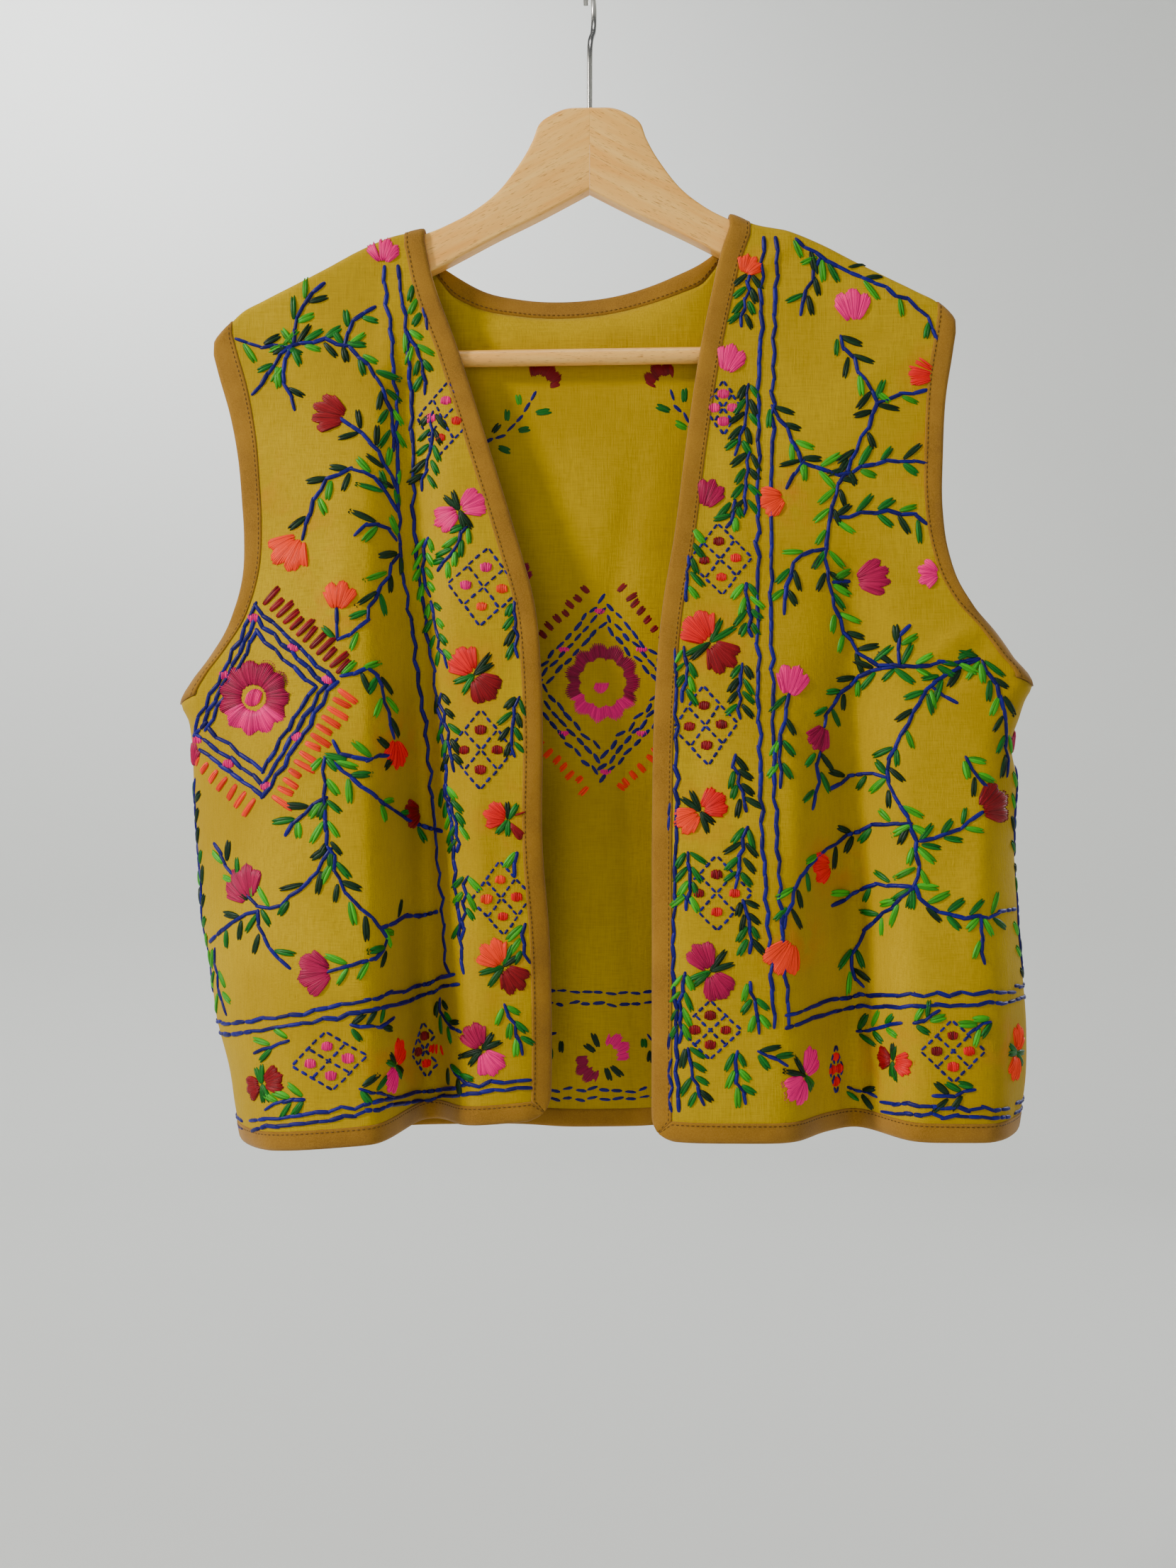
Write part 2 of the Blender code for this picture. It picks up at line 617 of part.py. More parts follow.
def make_hook():
    """Bent wire: up out of the wood, back, over the crown and down to the free end."""
    middle = HOOK_RADIUS + WIRE_RADIUS
    centre = -HOOK_RADIUS
    start, end = math.radians(HOOK_START), math.radians(HOOK_END)
    joins = np.array([middle * math.cos(start), centre + middle * math.sin(start)])
    heading = np.array([-math.sin(start), math.cos(start)])
    foot = np.array([0.0, -SHANK_BEND])
    handles = [foot, foot + (0, SHANK_EASE), joins - SHANK_EASE * heading, joins]
    route = [np.array([0.0, -SHANK_DROP])]
    for t in spread(0.0, 1.0, 6):
        weights = [(1 - t) ** 3, 3 * t * (1 - t) ** 2, 3 * t * t * (1 - t), t ** 3]
        route.append(sum(weight * handle for weight, handle in zip(weights, handles)))
    for angle in spread(start, end, 24)[1:]:
        route.append(np.array([middle * math.cos(angle), centre + middle * math.sin(angle)]))
    turn = math.radians(HOOK_TURN)
    wire = bpy.data.curves.new("hanger_hook", "CURVE")
    wire.dimensions = "3D"
    wire.bevel_depth = WIRE_RADIUS * MM
    wire.bevel_resolution = 2
    wire.use_fill_caps = True
    spline = wire.splines.new("POLY")
    spline.points.add(len(route) - 1)
    for spot, (back, up) in zip(spline.points, route):
        spot.co = (math.sin(turn) * back * MM, math.cos(turn) * back * MM, up * MM, 1)
    wire.materials.append(NICKEL)
    made = bpy.data.objects.new("hanger_hook", wire)
    bpy.context.scene.collection.objects.link(made)


for old in list(bpy.data.objects):
    bpy.data.objects.remove(old)

left, right = Front("left"), Front("right")
make_front(left)
make_front(right)
make_back(Back(left, right))
make_hanger()
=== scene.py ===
import math
import random
from contextlib import contextmanager

import bmesh
import bpy
import numpy as np
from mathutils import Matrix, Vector
from mathutils.bvhtree import BVHTree


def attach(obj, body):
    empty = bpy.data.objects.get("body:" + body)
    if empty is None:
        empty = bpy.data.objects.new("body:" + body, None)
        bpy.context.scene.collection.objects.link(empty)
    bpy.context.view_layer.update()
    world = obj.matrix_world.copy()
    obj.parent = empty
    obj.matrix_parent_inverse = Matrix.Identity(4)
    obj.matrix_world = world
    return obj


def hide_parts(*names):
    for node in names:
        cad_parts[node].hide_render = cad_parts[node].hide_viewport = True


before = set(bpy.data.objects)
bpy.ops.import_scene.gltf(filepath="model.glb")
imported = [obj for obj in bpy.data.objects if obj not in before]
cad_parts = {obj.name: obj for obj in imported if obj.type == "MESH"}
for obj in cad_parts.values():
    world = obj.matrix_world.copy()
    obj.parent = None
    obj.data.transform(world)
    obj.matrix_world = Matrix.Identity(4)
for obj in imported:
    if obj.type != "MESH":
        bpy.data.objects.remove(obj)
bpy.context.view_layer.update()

# The eye stands level with the waistcoat's middle, square to the hanger. Pattern and hanger are
# placed as they are seen against the hanger's plane, so the eye's place comes first.
MM = 0.001
EYE_BACK = 900.0
EYE_DOWN = 503.0
EYE_RIGHT = -1.0
SEEN_PER_PIXEL = 0.435
IMAGE_TALL = 2212
SENSOR_WIDE = 36.0

scene = bpy.context.scene


def add_object(name, data):
    made = bpy.data.objects.new(name, data)
    scene.collection.objects.link(made)
    return made


camera = add_object("camera", bpy.data.cameras.new("camera"))
scene.camera = camera
camera.location = (EYE_RIGHT * MM, -EYE_BACK * MM, -EYE_DOWN * MM)
camera.rotation_euler = (math.pi / 2, 0, 0)
camera.data.sensor_width = SENSOR_WIDE
camera.data.lens = SENSOR_WIDE * EYE_BACK / (SEEN_PER_PIXEL * IMAGE_TALL)
camera.data.clip_start = 0.05
camera.data.clip_end = 20


# The two fronts are plain-woven cotton, cut with a slanting neckline and a deep armhole. They
# hang over the arms from the shoulder seam and fall in soft folds, the left one in a deep pleat.
# Each is a grid laid between its centre edge and its side, then pushed out by stand and folds.
CLOTH_THICK = 0.8
FRONT_BINDING = 12.0
ARMHOLE_BINDING = 11.0
HEM_BINDING = 11.0
UNDER_BINDING = 2.5         # how far the cloth runs in under each binding
HEM_CORNER = 15.0           # radius of the rounded corner at the foot of each centre edge
SIDE_TURN = 30.0            # width over which a front turns round to its side seam
SIDE_SEAM = 3.0             # how far behind the hanger's plane the side seams hang
ARMPIT_SHARE = 0.55         # share of a panel's height that lies below the armpit
ARMPIT_CLEAR = 0.03         # share above the armpit where the armhole's slant is first read
TURN_GROWS = 0.15           # share below the armpit over which a side's turn grows
TURN_FADES = 0.12           # share above the armpit over which it goes
SLANT_STEP = 5              # an edge's slant is read this far above and below
SLANT_MOST = 1.35           # and widens a strip by no more than this
SHOULDER_HALF = 8.6         # half the thickness of arm and cloth, measured to the outer face
SHOULDER_SQUARE = 0.5       # how squarely the cloth turns over an arm: 1 would be round
SHOULDER_DOWN = 175.0       # how far down the shoulder's neck end lies
CLOTH_LIFT = 3.0            # the cloth's outer face above the arm it lies on
TILT = 0.015                # the left arm hangs this much lower for each unit outwards
PANEL_TALL = 500.0          # height of a panel near its neck
HEM_SHARE = HEM_BINDING / PANEL_TALL
SMALL_SHARE = 1e-4          # a step along a panel, to read its slope
HEM_DOWN = 715.0            # how far down the folds are fully grown
FOLD_GROWTH = 0.8           # how evenly a fold grows on its way down
FOLD_SQUARE = 4             # how flat its ridge is
CREASE_SPAN = (0.12, 0.95)  # the part of a half wave that a crease's height follows
CREASE_REACH = 3            # it has faded out this many half widths away

# Out from the middle, down from the hook's crown
ARM_TOP = [(0, 90), (14, 90.5), (24, 94.5), (31, 100), (35, 110), (42, 122.5), (55, 139.5),
           (70, 151.5), (85, 159.5), (100, 165.5), (122, 170.5), (140, 178), (162, 189.5),
           (180, 198.5), (200, 208.5)]
SHOULDER_END = [(212, 212), (223, 223.5), (230, 232)]

# Edges: down from the crown, out from the middle
FRONTS = {
    "left": dict(
        sign=-1, hem_centre=703, hem_side=718, armpit=456, tip=230, neck=102,
        centre=[(160, 104), (175, 100), (190, 97), (239, 80), (299, 61), (361, 42), (390, 34),
                (436, 29), (471, 28), (541, 28), (593, 24), (660, 22.5), (703, 23)],
        side=[(234, 230), (242, 229), (254, 226), (281, 218), (305, 213), (336, 209.5),
              (355, 208), (384, 209), (396, 212), (412, 219), (427, 230), (445, 244.5),
              (456, 250), (465, 246), (477, 244), (502, 243), (543, 240.5), (587, 237.5),
              (610, 233), (645, 229), (678, 220.5), (700, 217), (718, 213)]),
    "right": dict(
        sign=1, hem_centre=712, hem_side=713, armpit=444, tip=223, neck=88,
        centre=[(150, 90), (165, 85), (178, 80.5), (206, 74), (238, 67.5), (293, 59),
                (354, 51), (395, 44), (450, 39), (520, 37), (606, 36.5), (712, 36)],
        side=[(215, 223.5), (221, 223.5), (240, 221), (267, 216.5), (305, 214), (336, 213.5),
              (363, 217), (384, 224.5), (398, 234), (412, 247), (428, 259.5), (444, 271),
              (452, 267), (464, 263), (476, 259), (500, 262), (536, 260.5), (601, 264),
              (655, 268), (687, 267), (713, 262)]),
}

# Stand: down from the crown, out of the hanger's plane. Folds: out at the shoulder, out at the
# hem, width inwards, width outwards, rise at the hem, where it starts
FRONT_STAND = [(150, 8.6), (235, 8.6), (300, 12), (450, 18), (720, 22)]
FOLDS = {
    "left": [(136, 132, 24, 78, 34, 215), (117, 99, 17, 17, -10, 225), (50, 53, 24, 24, 6, 330)],
    "right": [(96, 88, 62, 48, 26, 330), (150, 155, 26, 26, -9, 380), (205, 214, 40, 42, 22, 420)],
    "back": [(-60, -78, 45, 50, 7, 400), (-5, 10, 40, 34, -4, 430), (70, 92, 44, 52, 6, 380)],
}

# Creases: from across and down, to across and down, half width, rise
CREASES = {
    "left": [(111, 266, 92, 1000, 16, -17), (214, 425, 150, 470, 7, 1.6),
             (222, 440, 168, 505, 6, -1.3), (205, 240, 150, 262, 9, 1.0),
             (120, 205, 128, 300, 7, 1.3), (172, 560, 120, 640, 8, 1.2), (88, 330, 104, 470, 6, -1.4),
             (70, 470, 62, 650, 7, 1.2), (205, 600, 180, 690, 8, -1.2), (146, 330, 152, 470, 9, 1.1)],
    "right": [(160, 380, 168, 1000, 15, -11), (232, 408, 196, 432, 5, 2.0),
              (240, 418, 210, 452, 5, -1.8), (95, 195, 125, 172, 5, 1.1),
              (196, 235, 150, 268, 9, 1.0), (118, 470, 132, 600, 8, 1.4), (176, 400, 182, 520, 8, -1.2),
              (84, 260, 90, 400, 9, 1.1), (60, 420, 66, 560, 7, -1.2), (240, 500, 222, 610, 8, 1.2),
              (134, 640, 150, 705, 6, 1.3)],
    "back": [(-196, 420, -120, 470, 9, 3.4), (206, 410, 130, 462, 9, 3.4), (-120, 250, -60, 330, 9, 2.3),
             (110, 240, 60, 330, 9, 2.3), (-30, 500, -40, 680, 10, 2.7), (140, 520, 150, 690, 10, -2.7),
             (-150, 540, -160, 700, 9, 2.5), (30, 300, 10, 420, 9, 1.7)],
}


def lerp(a, b, t):
    return a + (b - a) * t


def ease(t):
    t = min(max(t, 0.0), 1.0)
    return t * t * (3 - 2 * t)


def spread(start, end, count):
    return [lerp(start, end, i / count) for i in range(count + 1)]


def through(table):
    """A smooth curve through a two-column table, carried on straight past its ends."""
    xs = np.array([row[0] for row in table], float)
    ys = np.array([row[1] for row in table], float)
    slopes = np.gradient(ys, xs)

    def at(x):
        if x <= xs[0]:
            return ys[0] + slopes[0] * (x - xs[0])
        if x >= xs[-1]:
            return ys[-1] + slopes[-1] * (x - xs[-1])
        i = int(np.searchsorted(xs, x)) - 1
        h = xs[i + 1] - xs[i]
        t = (x - xs[i]) / h
        return ((1 + 2 * t) * (1 - t) ** 2 * ys[i] + t * (1 - t) ** 2 * h * slopes[i]
                + t * t * (3 - 2 * t) * ys[i + 1] + t * t * (t - 1) * h * slopes[i + 1])

    return at


shoulder_top = through([(out, down - CLOTH_LIFT) for out, down in ARM_TOP[8:]] + SHOULDER_END)
front_stand = through(FRONT_STAND)


def shoulder_down(x):
    return shoulder_top(abs(x)) - TILT * x


def rounded(share):
    """The square-shouldered turn of cloth over an arm: depth left, height gained."""
    across, up = math.cos(share * math.pi / 2), math.sin(share * math.pi / 2)
    return math.copysign(abs(across) ** SHOULDER_SQUARE, across), abs(up) ** SHOULDER_SQUARE


def over_shoulder(x, depth, z, v):
    """A spot of cloth. Past a share of 1, it is carried squarely over the arm to the seam."""
    kept, gained = rounded(max(v - 1, 0))
    return np.array([x, depth * kept, z + SHOULDER_HALF * gained])


def folds(name, across, down):
    """How far a panel's folds and creases push the cloth out at a place."""
    total = 0.0
    for top, hem, inner, outer, rise, start in FOLDS[name]:
        fallen = (down - start) / (HEM_DOWN - start)
        away = across - lerp(top, hem, fallen)
        ridge = math.exp(-(away / (outer if away > 0 else inner)) ** FOLD_SQUARE)
        total += rise * ease(fallen) ** FOLD_GROWTH * ridge
    for x0, d0, x1, d1, half, rise in CREASES[name]:
        length = (x1 - x0) ** 2 + (d1 - d0) ** 2
        along = min(max(((across - x0) * (x1 - x0) + (down - d0) * (d1 - d0)) / length, 0), 1)
        gap = math.hypot(across - lerp(x0, x1, along), down - lerp(d0, d1, along))
        if gap < CREASE_REACH * half:
            swell = math.sin(math.pi * lerp(*CREASE_SPAN, along))
            total += rise * swell * math.exp(-(gap / half) ** 2)
    return total


def between(edge_a, edge_b, top):
    """A panel's flat shape: it fills the space between two edges, a straight hem and a top."""
    (xc, zc), (xd, zd) = edge_a(1.0), edge_b(1.0)

    def place(u, v):
        (xa, za), (xb, zb) = edge_a(v), edge_b(v)
        rise = top(lerp(xc, xd, u)) - lerp(zc, zd, u)
        return lerp(xa, xb, u), lerp(za, zb, u) + v * rise

    return place


def slant(curve, down):
    """How much wider a strip gets when it is measured level instead of square to an edge."""
    run = (curve(down + SLANT_STEP) - curve(down - SLANT_STEP)) / (2 * SLANT_STEP)
    return min(math.hypot(1, run), SLANT_MOST)


class Front:
    """u runs from the centre edge to the side, v from hem to shoulder, and on to 2 over the arm."""

    def __init__(self, name):
        data = FRONTS[name]
        self.name, self.data, self.sign, self.turn = name, data, data["sign"], data["sign"]
        self.centre, self.side = through(data["centre"]), through(data["side"])
        self.neck_down = shoulder_down(self.sign * data["neck"]) + SHOULDER_HALF
        self.tip_down = shoulder_down(self.sign * data["tip"]) + SHOULDER_HALF
        self.place = between(self.centre_edge, self.side_edge,
                             lambda x: -shoulder_down(x) - SHOULDER_HALF)
        self.neck_edge = abs(self.centre_edge(1.0)[0])
        self.wide, self.tall = self.width(0), data["hem_centre"] - SHOULDER_DOWN

    def centre_down(self, v):
        return lerp(self.data["hem_centre"], self.neck_down, v)

    def side_down(self, v):
        armpit = self.data["armpit"]
        if v < ARMPIT_SHARE:
            return lerp(self.data["hem_side"], armpit, v / ARMPIT_SHARE)
        return lerp(armpit, self.tip_down, (v - ARMPIT_SHARE) / (1 - ARMPIT_SHARE))

    def centre_edge(self, v):
        down = self.centre_down(v)
        return self.sign * self.centre(down), -down

    def side_edge(self, v):
        down = self.side_down(v)
        return self.sign * self.side(down), -down

    def width(self, v):
        return abs(self.side_edge(v)[0] - self.centre_edge(v)[0])

    def centre_share(self, v):
        """Where the front binding's inner edge runs."""
        v = min(v, 1.0)
        return FRONT_BINDING * slant(self.centre, self.centre_down(v)) / self.width(v)

    def side_strip(self, v, turn):
        """How wide the armhole binding is, and below the armpit the turn to the side seam."""
        down = self.side_down(max(v, ARMPIT_SHARE + ARMPIT_CLEAR))
        wide = ARMHOLE_BINDING * slant(self.side, down)
        return lerp(wide, turn, ease((ARMPIT_SHARE - v) / TURN_GROWS))

    def turn_share(self, v):
        """Where that strip starts."""
        v = min(v, 1.0)
        return 1 - self.side_strip(v, SIDE_TURN) / self.width(v)

    def round_corner(self, u, v):
        """Rounds the foot of the centre edge, as a square is pressed into a quarter circle."""
        p = 1 - u * self.wide / HEM_CORNER
        q = 1 - v * self.tall / HEM_CORNER
        if p <= 0 or q <= 0:
            return u, v
        p, q = p * math.sqrt(1 - q * q / 2), q * math.sqrt(1 - p * p / 2)
        return (1 - p) * HEM_CORNER / self.wide, (1 - q) * HEM_CORNER / self.tall

    def point(self, u, v):
        u, flat_v = self.round_corner(u, min(v, 1.0))
        start = self.turn_share(flat_v)
        turned = 1 - ease((flat_v - ARMPIT_SHARE) / TURN_FADES)
        angle = max(0.0, (u - start) / (1 - start)) * math.pi / 2
        if angle:
            u = lerp(u, start + (1 - start) * math.sin(angle), turned)
        x, z = self.place(u, flat_v)
        depth = front_stand(-z) + folds(self.name, abs(x), -z)
        depth = lerp(depth, lerp(-SIDE_SEAM, depth, math.cos(angle)), turned)
        return over_shoulder(x, -depth, z, v)

    def shares(self, v):
        """Where the grid's lines cross a level. They run in a little way under the bindings."""
        start = self.centre_share(v) * (1 - UNDER_BINDING / FRONT_BINDING)
        turn = self.turn_share(v)
        if v > ARMPIT_SHARE:
            turn += (1 - turn) * UNDER_BINDING / ARMHOLE_BINDING
        return spread(start, turn, FLAT_COLUMNS) + spread(turn, 1.0, TURN_COLUMNS)[1:]

    def covers(self, i, j):
        """Whether there is cloth between four of the grid's points."""
        return j < FLAT_COLUMNS or i < len(BELOW) - 1


def facing(point, a, b, step_a, step_b):
    """The way a surface faces: square to its run in a and to its run in b."""
    normal = np.cross(point(a + step_a, b) - point(a - step_a, b),
                      point(a, b + step_b) - point(a, b - step_b))
    return normal / np.linalg.norm(normal)


def outward(panel, u, v):
    """The direction that the cloth's outer face looks in."""
    return facing(panel.point, u, v, SMALL_SHARE, SMALL_SHARE) * panel.turn


def add_mesh(name, vertices, faces):
    """A new object at the origin, its place in its mesh. Vertices come in millimetres."""
    mesh = bpy.data.meshes.new(name)
    mesh.from_pydata([tuple(float(c) * MM for c in vertex) for vertex in vertices], [], faces)
    mesh.validate()
    mesh.shade_smooth()
    return add_object(name, mesh)


@contextmanager
def edited(mesh):
    """Opens a mesh for bmesh's tools, and writes it back."""
    shape = bmesh.new()
    shape.from_mesh(mesh)
    yield shape
    shape.to_mesh(mesh)
    shape.free()


def grid_faces(rows, columns, used=None, flip=False):
    faces = []
    for i in range(rows - 1):
        for j in range(columns - 1):
            if used is None or used(i, j):
                a = i * columns + j
                loop = (a, a + 1, a + columns + 1, a + columns)
                faces.append(loop[::-1] if flip else loop)
    return faces


def tube_walls(rings, sides):
    """The faces round a tube that is made of rings of points."""
    faces = []
    for start in range(0, (rings - 1) * sides, sides):
        for k in range(sides):
            a, b = start + k, start + (k + 1) % sides
            faces.append((a, b, b + sides, a + sides))
    return faces


def dress(made, material, replaced):
    """Gives a piece its material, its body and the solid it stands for."""
    made.data.materials.append(material)
    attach(made, "root")
    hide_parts(replaced)


def drape(name, panel):
    """A panel's shell of cloth, thickened inwards, and the outer face that stitches lie on."""
    rows = [panel.shares(v) for v in LEVELS]
    vertices = [panel.point(u, v) for row, v in zip(rows, LEVELS) for u in row]
    faces = grid_faces(len(rows), len(rows[0]), panel.covers, flip=panel.turn < 0)
    made = add_mesh(f"cloth_{name}", vertices, faces)
    with edited(made.data) as shape:
        loose = [vertex for vertex in shape.verts if not vertex.link_faces]
        bmesh.ops.delete(shape, geom=loose, context="VERTS")
    solid = made.modifiers.new("thickness", "SOLIDIFY")
    solid.thickness = CLOTH_THICK * MM
    solid.offset = -1
    solid.use_even_offset = False
    dress(made, COTTON, name)
    return made, BVHTree.FromPolygons(vertices, faces)


def colour(hexed):
    """An sRGB hex colour as the linear numbers that a shader takes."""
    parts = [int(hexed[i:i + 2], 16) / 255 for i in (1, 3, 5)]
    return tuple(c / 12.92 if c <= 0.04045 else ((c + 0.055) / 1.055) ** 2.4 for c in parts) + (1.0,)


def feed(tree, made, links):
    """Sets inputs of a node, each to a value or to a socket."""
    for key, value in links.items():
        if isinstance(value, bpy.types.NodeSocket):
            tree.links.new(value, made.inputs[key])
        else:
            made.inputs[key].default_value = value


def node(tree, kind, links=None, **settings):
    """Adds a node to a tree. Settings are its properties, links its inputs."""
    made = tree.nodes.new(kind)
    for name, value in settings.items():
        setattr(made, name, value)
    feed(tree, made, links or {})
    return made


def new_material(name):
    """A material with a bare Principled shader, and the tree to build in."""
    made = bpy.data.materials.new(name)
    made.use_nodes = True
    return made, made.node_tree, made.node_tree.nodes["Principled BSDF"]


def object_place(tree):
    return node(tree, "ShaderNodeTexCoord").outputs["Object"]


def stretched(tree, place, scale):
    return node(tree, "ShaderNodeMapping", {"Vector": place, "Scale": scale}).outputs[0]


def noise(tree, place, scale, detail, distortion=0.0):
    return node(tree, "ShaderNodeTexNoise", {"Vector": place, "Scale": scale, "Detail": detail,
                                             "Distortion": distortion}).outputs["Fac"]


def ranged(tree, value, low, high, start=0.0, end=1.0):
    """Maps a value from low and high to start and end."""
    return node(tree, "ShaderNodeMapRange", {0: value, 1: low, 2: high, 3: start, 4: end}).outputs[0]


def reckon(tree, operation, a, b):
    return node(tree, "ShaderNodeMath", {0: a, 1: b}, operation=operation).outputs[0]


def blend_colours(tree, factor, low, high):
    """Mixes two colours, or colour sockets, by a factor socket."""
    return node(tree, "ShaderNodeMix", {"Factor": factor, 6: low, 7: high}, data_type="RGBA").outputs[2]


def bumped(tree, height, strength, distance):
    return node(tree, "ShaderNodeBump", {"Strength": strength, "Distance": distance,
                                         "Height": height}).outputs[0]


def woven_cotton():
    """Plain-woven mustard cotton, dyed in the piece: matt, with uneven slubs in both threads.

    The threads lie 0.4 mm apart, too fine for the picture, so the weave is drawn at 0.7 mm."""
    made, tree, shader = new_material("woven_mustard_cotton")
    place = object_place(tree)
    cloud = ranged(tree, noise(tree, place, 9.0, 3.0), 0.35, 0.65)
    base = blend_colours(tree, cloud, colour("#AC8B00"), colour("#C09E00"))
    warp, weft = [noise(tree, stretched(tree, place, scale), 1500.0, 1.0)
                  for scale in ((1, 1, 0.06), (0.06, 1, 1))]
    weave = reckon(tree, "ADD", warp, weft)
    base = blend_colours(tree, ranged(tree, weave, 0.8, 2.0), base, colour("#987800"))
    stain = node(tree, "ShaderNodeAttribute", attribute_name="stain").outputs["Fac"]
    patch = ranged(tree, noise(tree, place, 70.0, 3.0), 0.42, 0.62, end=0.5)
    base = blend_colours(tree, reckon(tree, "MULTIPLY", stain, patch), base, colour("#C9701C"))
    pucker = reckon(tree, "MULTIPLY", noise(tree, place, 120.0, 2.0), 2.4)
    relief = bumped(tree, reckon(tree, "ADD", pucker, weave), 0.22, 0.001)
    feed(tree, shader, {"Base Color": base, "Normal": relief, "Roughness": 0.78,
                        "Specular IOR Level": 0.12, "Sheen Weight": 0.06, "Sheen Roughness": 0.5})
    return made


COTTON = woven_cotton()
ROWS_BELOW, ROWS_ABOVE, ROWS_OVER = 84, 72, 12
BELOW = spread(HEM_SHARE * (1 - UNDER_BINDING / HEM_BINDING), ARMPIT_SHARE, ROWS_BELOW)
ABOVE = spread(ARMPIT_SHARE, 1.0, ROWS_ABOVE)[1:]
OVER_ARM = spread(1.0, 2.0, ROWS_OVER)[1:]
LEVELS = BELOW + ABOVE + OVER_ARM
FLAT_COLUMNS, TURN_COLUMNS = 66, 14

fronts = {name: Front(name) for name in ("left", "right")}
shells = {name: drape(f"front_{name}", panel) for name, panel in fronts.items()}


# The back is one piece of the same cotton, nearly flat, with two soft flutes below the shoulder
# blades. It comes over the arms to meet the fronts, and hangs free behind the neck.
BACK_TURN = 14.0            # width over which the back turns round to a side seam
BACK_INSET = 3.0            # the back's armholes are cut this much further in
INSET_GROWS = 0.1           # share over which the inset comes, and goes at the top
NECK_LEAN = 9.0             # the back neck's free edge leans away by this much
NECK_LEAN_DEPTH = 26.0
NECK_LEAN_HALF = 60.0
NECK_MIDDLE = -8.0          # where it leans most
NECK_SPAN = (-90, 76)       # from one arm to the other
NECK_TURN = 0.28            # share of each half of the neck that turns up behind the arm
NECK_DRAW = 0.05            # how much nearer the middle the panel's top is drawn there
BACK_STAND = [(150, 8.6), (235, 8.6), (320, 10.5), (450, 13), (720, 15)]
NECK_BACK = [(-102, 176), (-87, 186), (-67, 196.5), (-44, 200.5), (-10, 201.5), (12, 199),
             (30, 195), (52, 188), (70, 180), (88, 166)]
neck_back = through(NECK_BACK)
back_stand = through(BACK_STAND)


class Back:
    """u runs from the left side to the right, v as on a front."""

    turn = -1

    def __init__(self, left, right):
        self.left, self.right = left, right
        self.corners = [front.sign * (front.neck_edge + FRONT_BINDING) for front in (left, right)]
        self.place = between(lambda v: self.edge(left, v), lambda v: self.edge(right, v), self.top)
        left_end = self.edge(left, 1.0)[0]
        self.corner_shares = [(corner - left_end) / self.width(1.0) for corner in self.corners]

    def edge(self, front, v):
        x, z = front.side_edge(v)
        grown, gone = (ease((v - start) / INSET_GROWS) for start in (ARMPIT_SHARE, 1 - INSET_GROWS))
        return x - front.sign * (BACK_INSET * grown * (1 - gone)), z

    def top(self, x):
        """The panel's top: behind the arms, and along the neck binding between them."""
        low, high = self.corners
        if x < low or x > high:
            return -shoulder_down(x) - SHOULDER_HALF
        share = abs(x - (low + high) / 2) / ((high - low) / 2)
        inner = neck_back(x * (1 - NECK_DRAW * share)) + FRONT_BINDING
        corner = shoulder_down(low if x < 0 else high) + SHOULDER_HALF
        return -lerp(inner, corner, ease((share - (1 - NECK_TURN)) / NECK_TURN))

    def width(self, v):
        return self.edge(self.right, v)[0] - self.edge(self.left, v)[0]

    def turn_shares(self, v):
        low, high = [front.side_strip(v, BACK_TURN) / self.width(v) for front in (self.left, self.right)]
        return low, 1 - high

    def depth(self, x, z):
        """How far behind the hanger's plane the cloth hangs. Its free neck edge leans away."""
        below = -z - neck_back(min(max(x, NECK_SPAN[0]), NECK_SPAN[1]))
        near = ease(1 - below / NECK_LEAN_DEPTH)
        lean = NECK_LEAN * near * math.exp(-((x - NECK_MIDDLE) / NECK_LEAN_HALF) ** 4)
        return back_stand(-z) + folds("back", x, -z) + lean

    def point(self, u, v):
        flat_v = min(v, 1.0)
        low, high = self.turn_shares(flat_v)
        turned = 1 - ease((flat_v - ARMPIT_SHARE) / TURN_FADES)
        angle, flat_u = 0.0, u
        if u < low:
            angle = (low - u) / low * math.pi / 2
            flat_u = lerp(u, low * (1 - math.sin(angle)), turned)
        if u > high:
            angle = (u - high) / (1 - high) * math.pi / 2
            flat_u = lerp(u, high + (1 - high) * math.sin(angle), turned)
        x, z = self.place(flat_u, flat_v)
        depth = self.depth(x, z)
        depth = lerp(depth, lerp(SIDE_SEAM, depth, math.cos(angle)), turned)
        return over_shoulder(x, depth, z, v)

    def shares(self, v):
        low, high = self.turn_shares(min(v, 1.0))
        if v > ARMPIT_SHARE:
            low *= 1 - UNDER_BINDING / ARMHOLE_BINDING
            high += (1 - high) * UNDER_BINDING / ARMHOLE_BINDING
        marks = [0.0, low, *self.corner_shares, high, 1.0]
        counts = (BACK_TURNS, BACK_SHOULDERS, BACK_NECK, BACK_SHOULDERS, BACK_TURNS)
        shares = [0.0]
        for start, end, count in zip(marks, marks[1:], counts):
            shares += spread(start, end, count)[1:]
        return shares

    def covers(self, i, j):
        neck = BACK_TURNS + BACK_SHOULDERS
        in_turn = j < BACK_TURNS or j >= neck + BACK_NECK + BACK_SHOULDERS
        in_neck = neck <= j < neck + BACK_NECK
        above, behind = len(BELOW) - 1, len(BELOW) + len(ABOVE) - 1
        return not (in_turn and i >= above) and not (in_neck and i >= behind)


BACK_TURNS, BACK_SHOULDERS, BACK_NECK = 8, 28, 66
back = Back(fronts["left"], fronts["right"])
shells["back"] = drape("back", back)


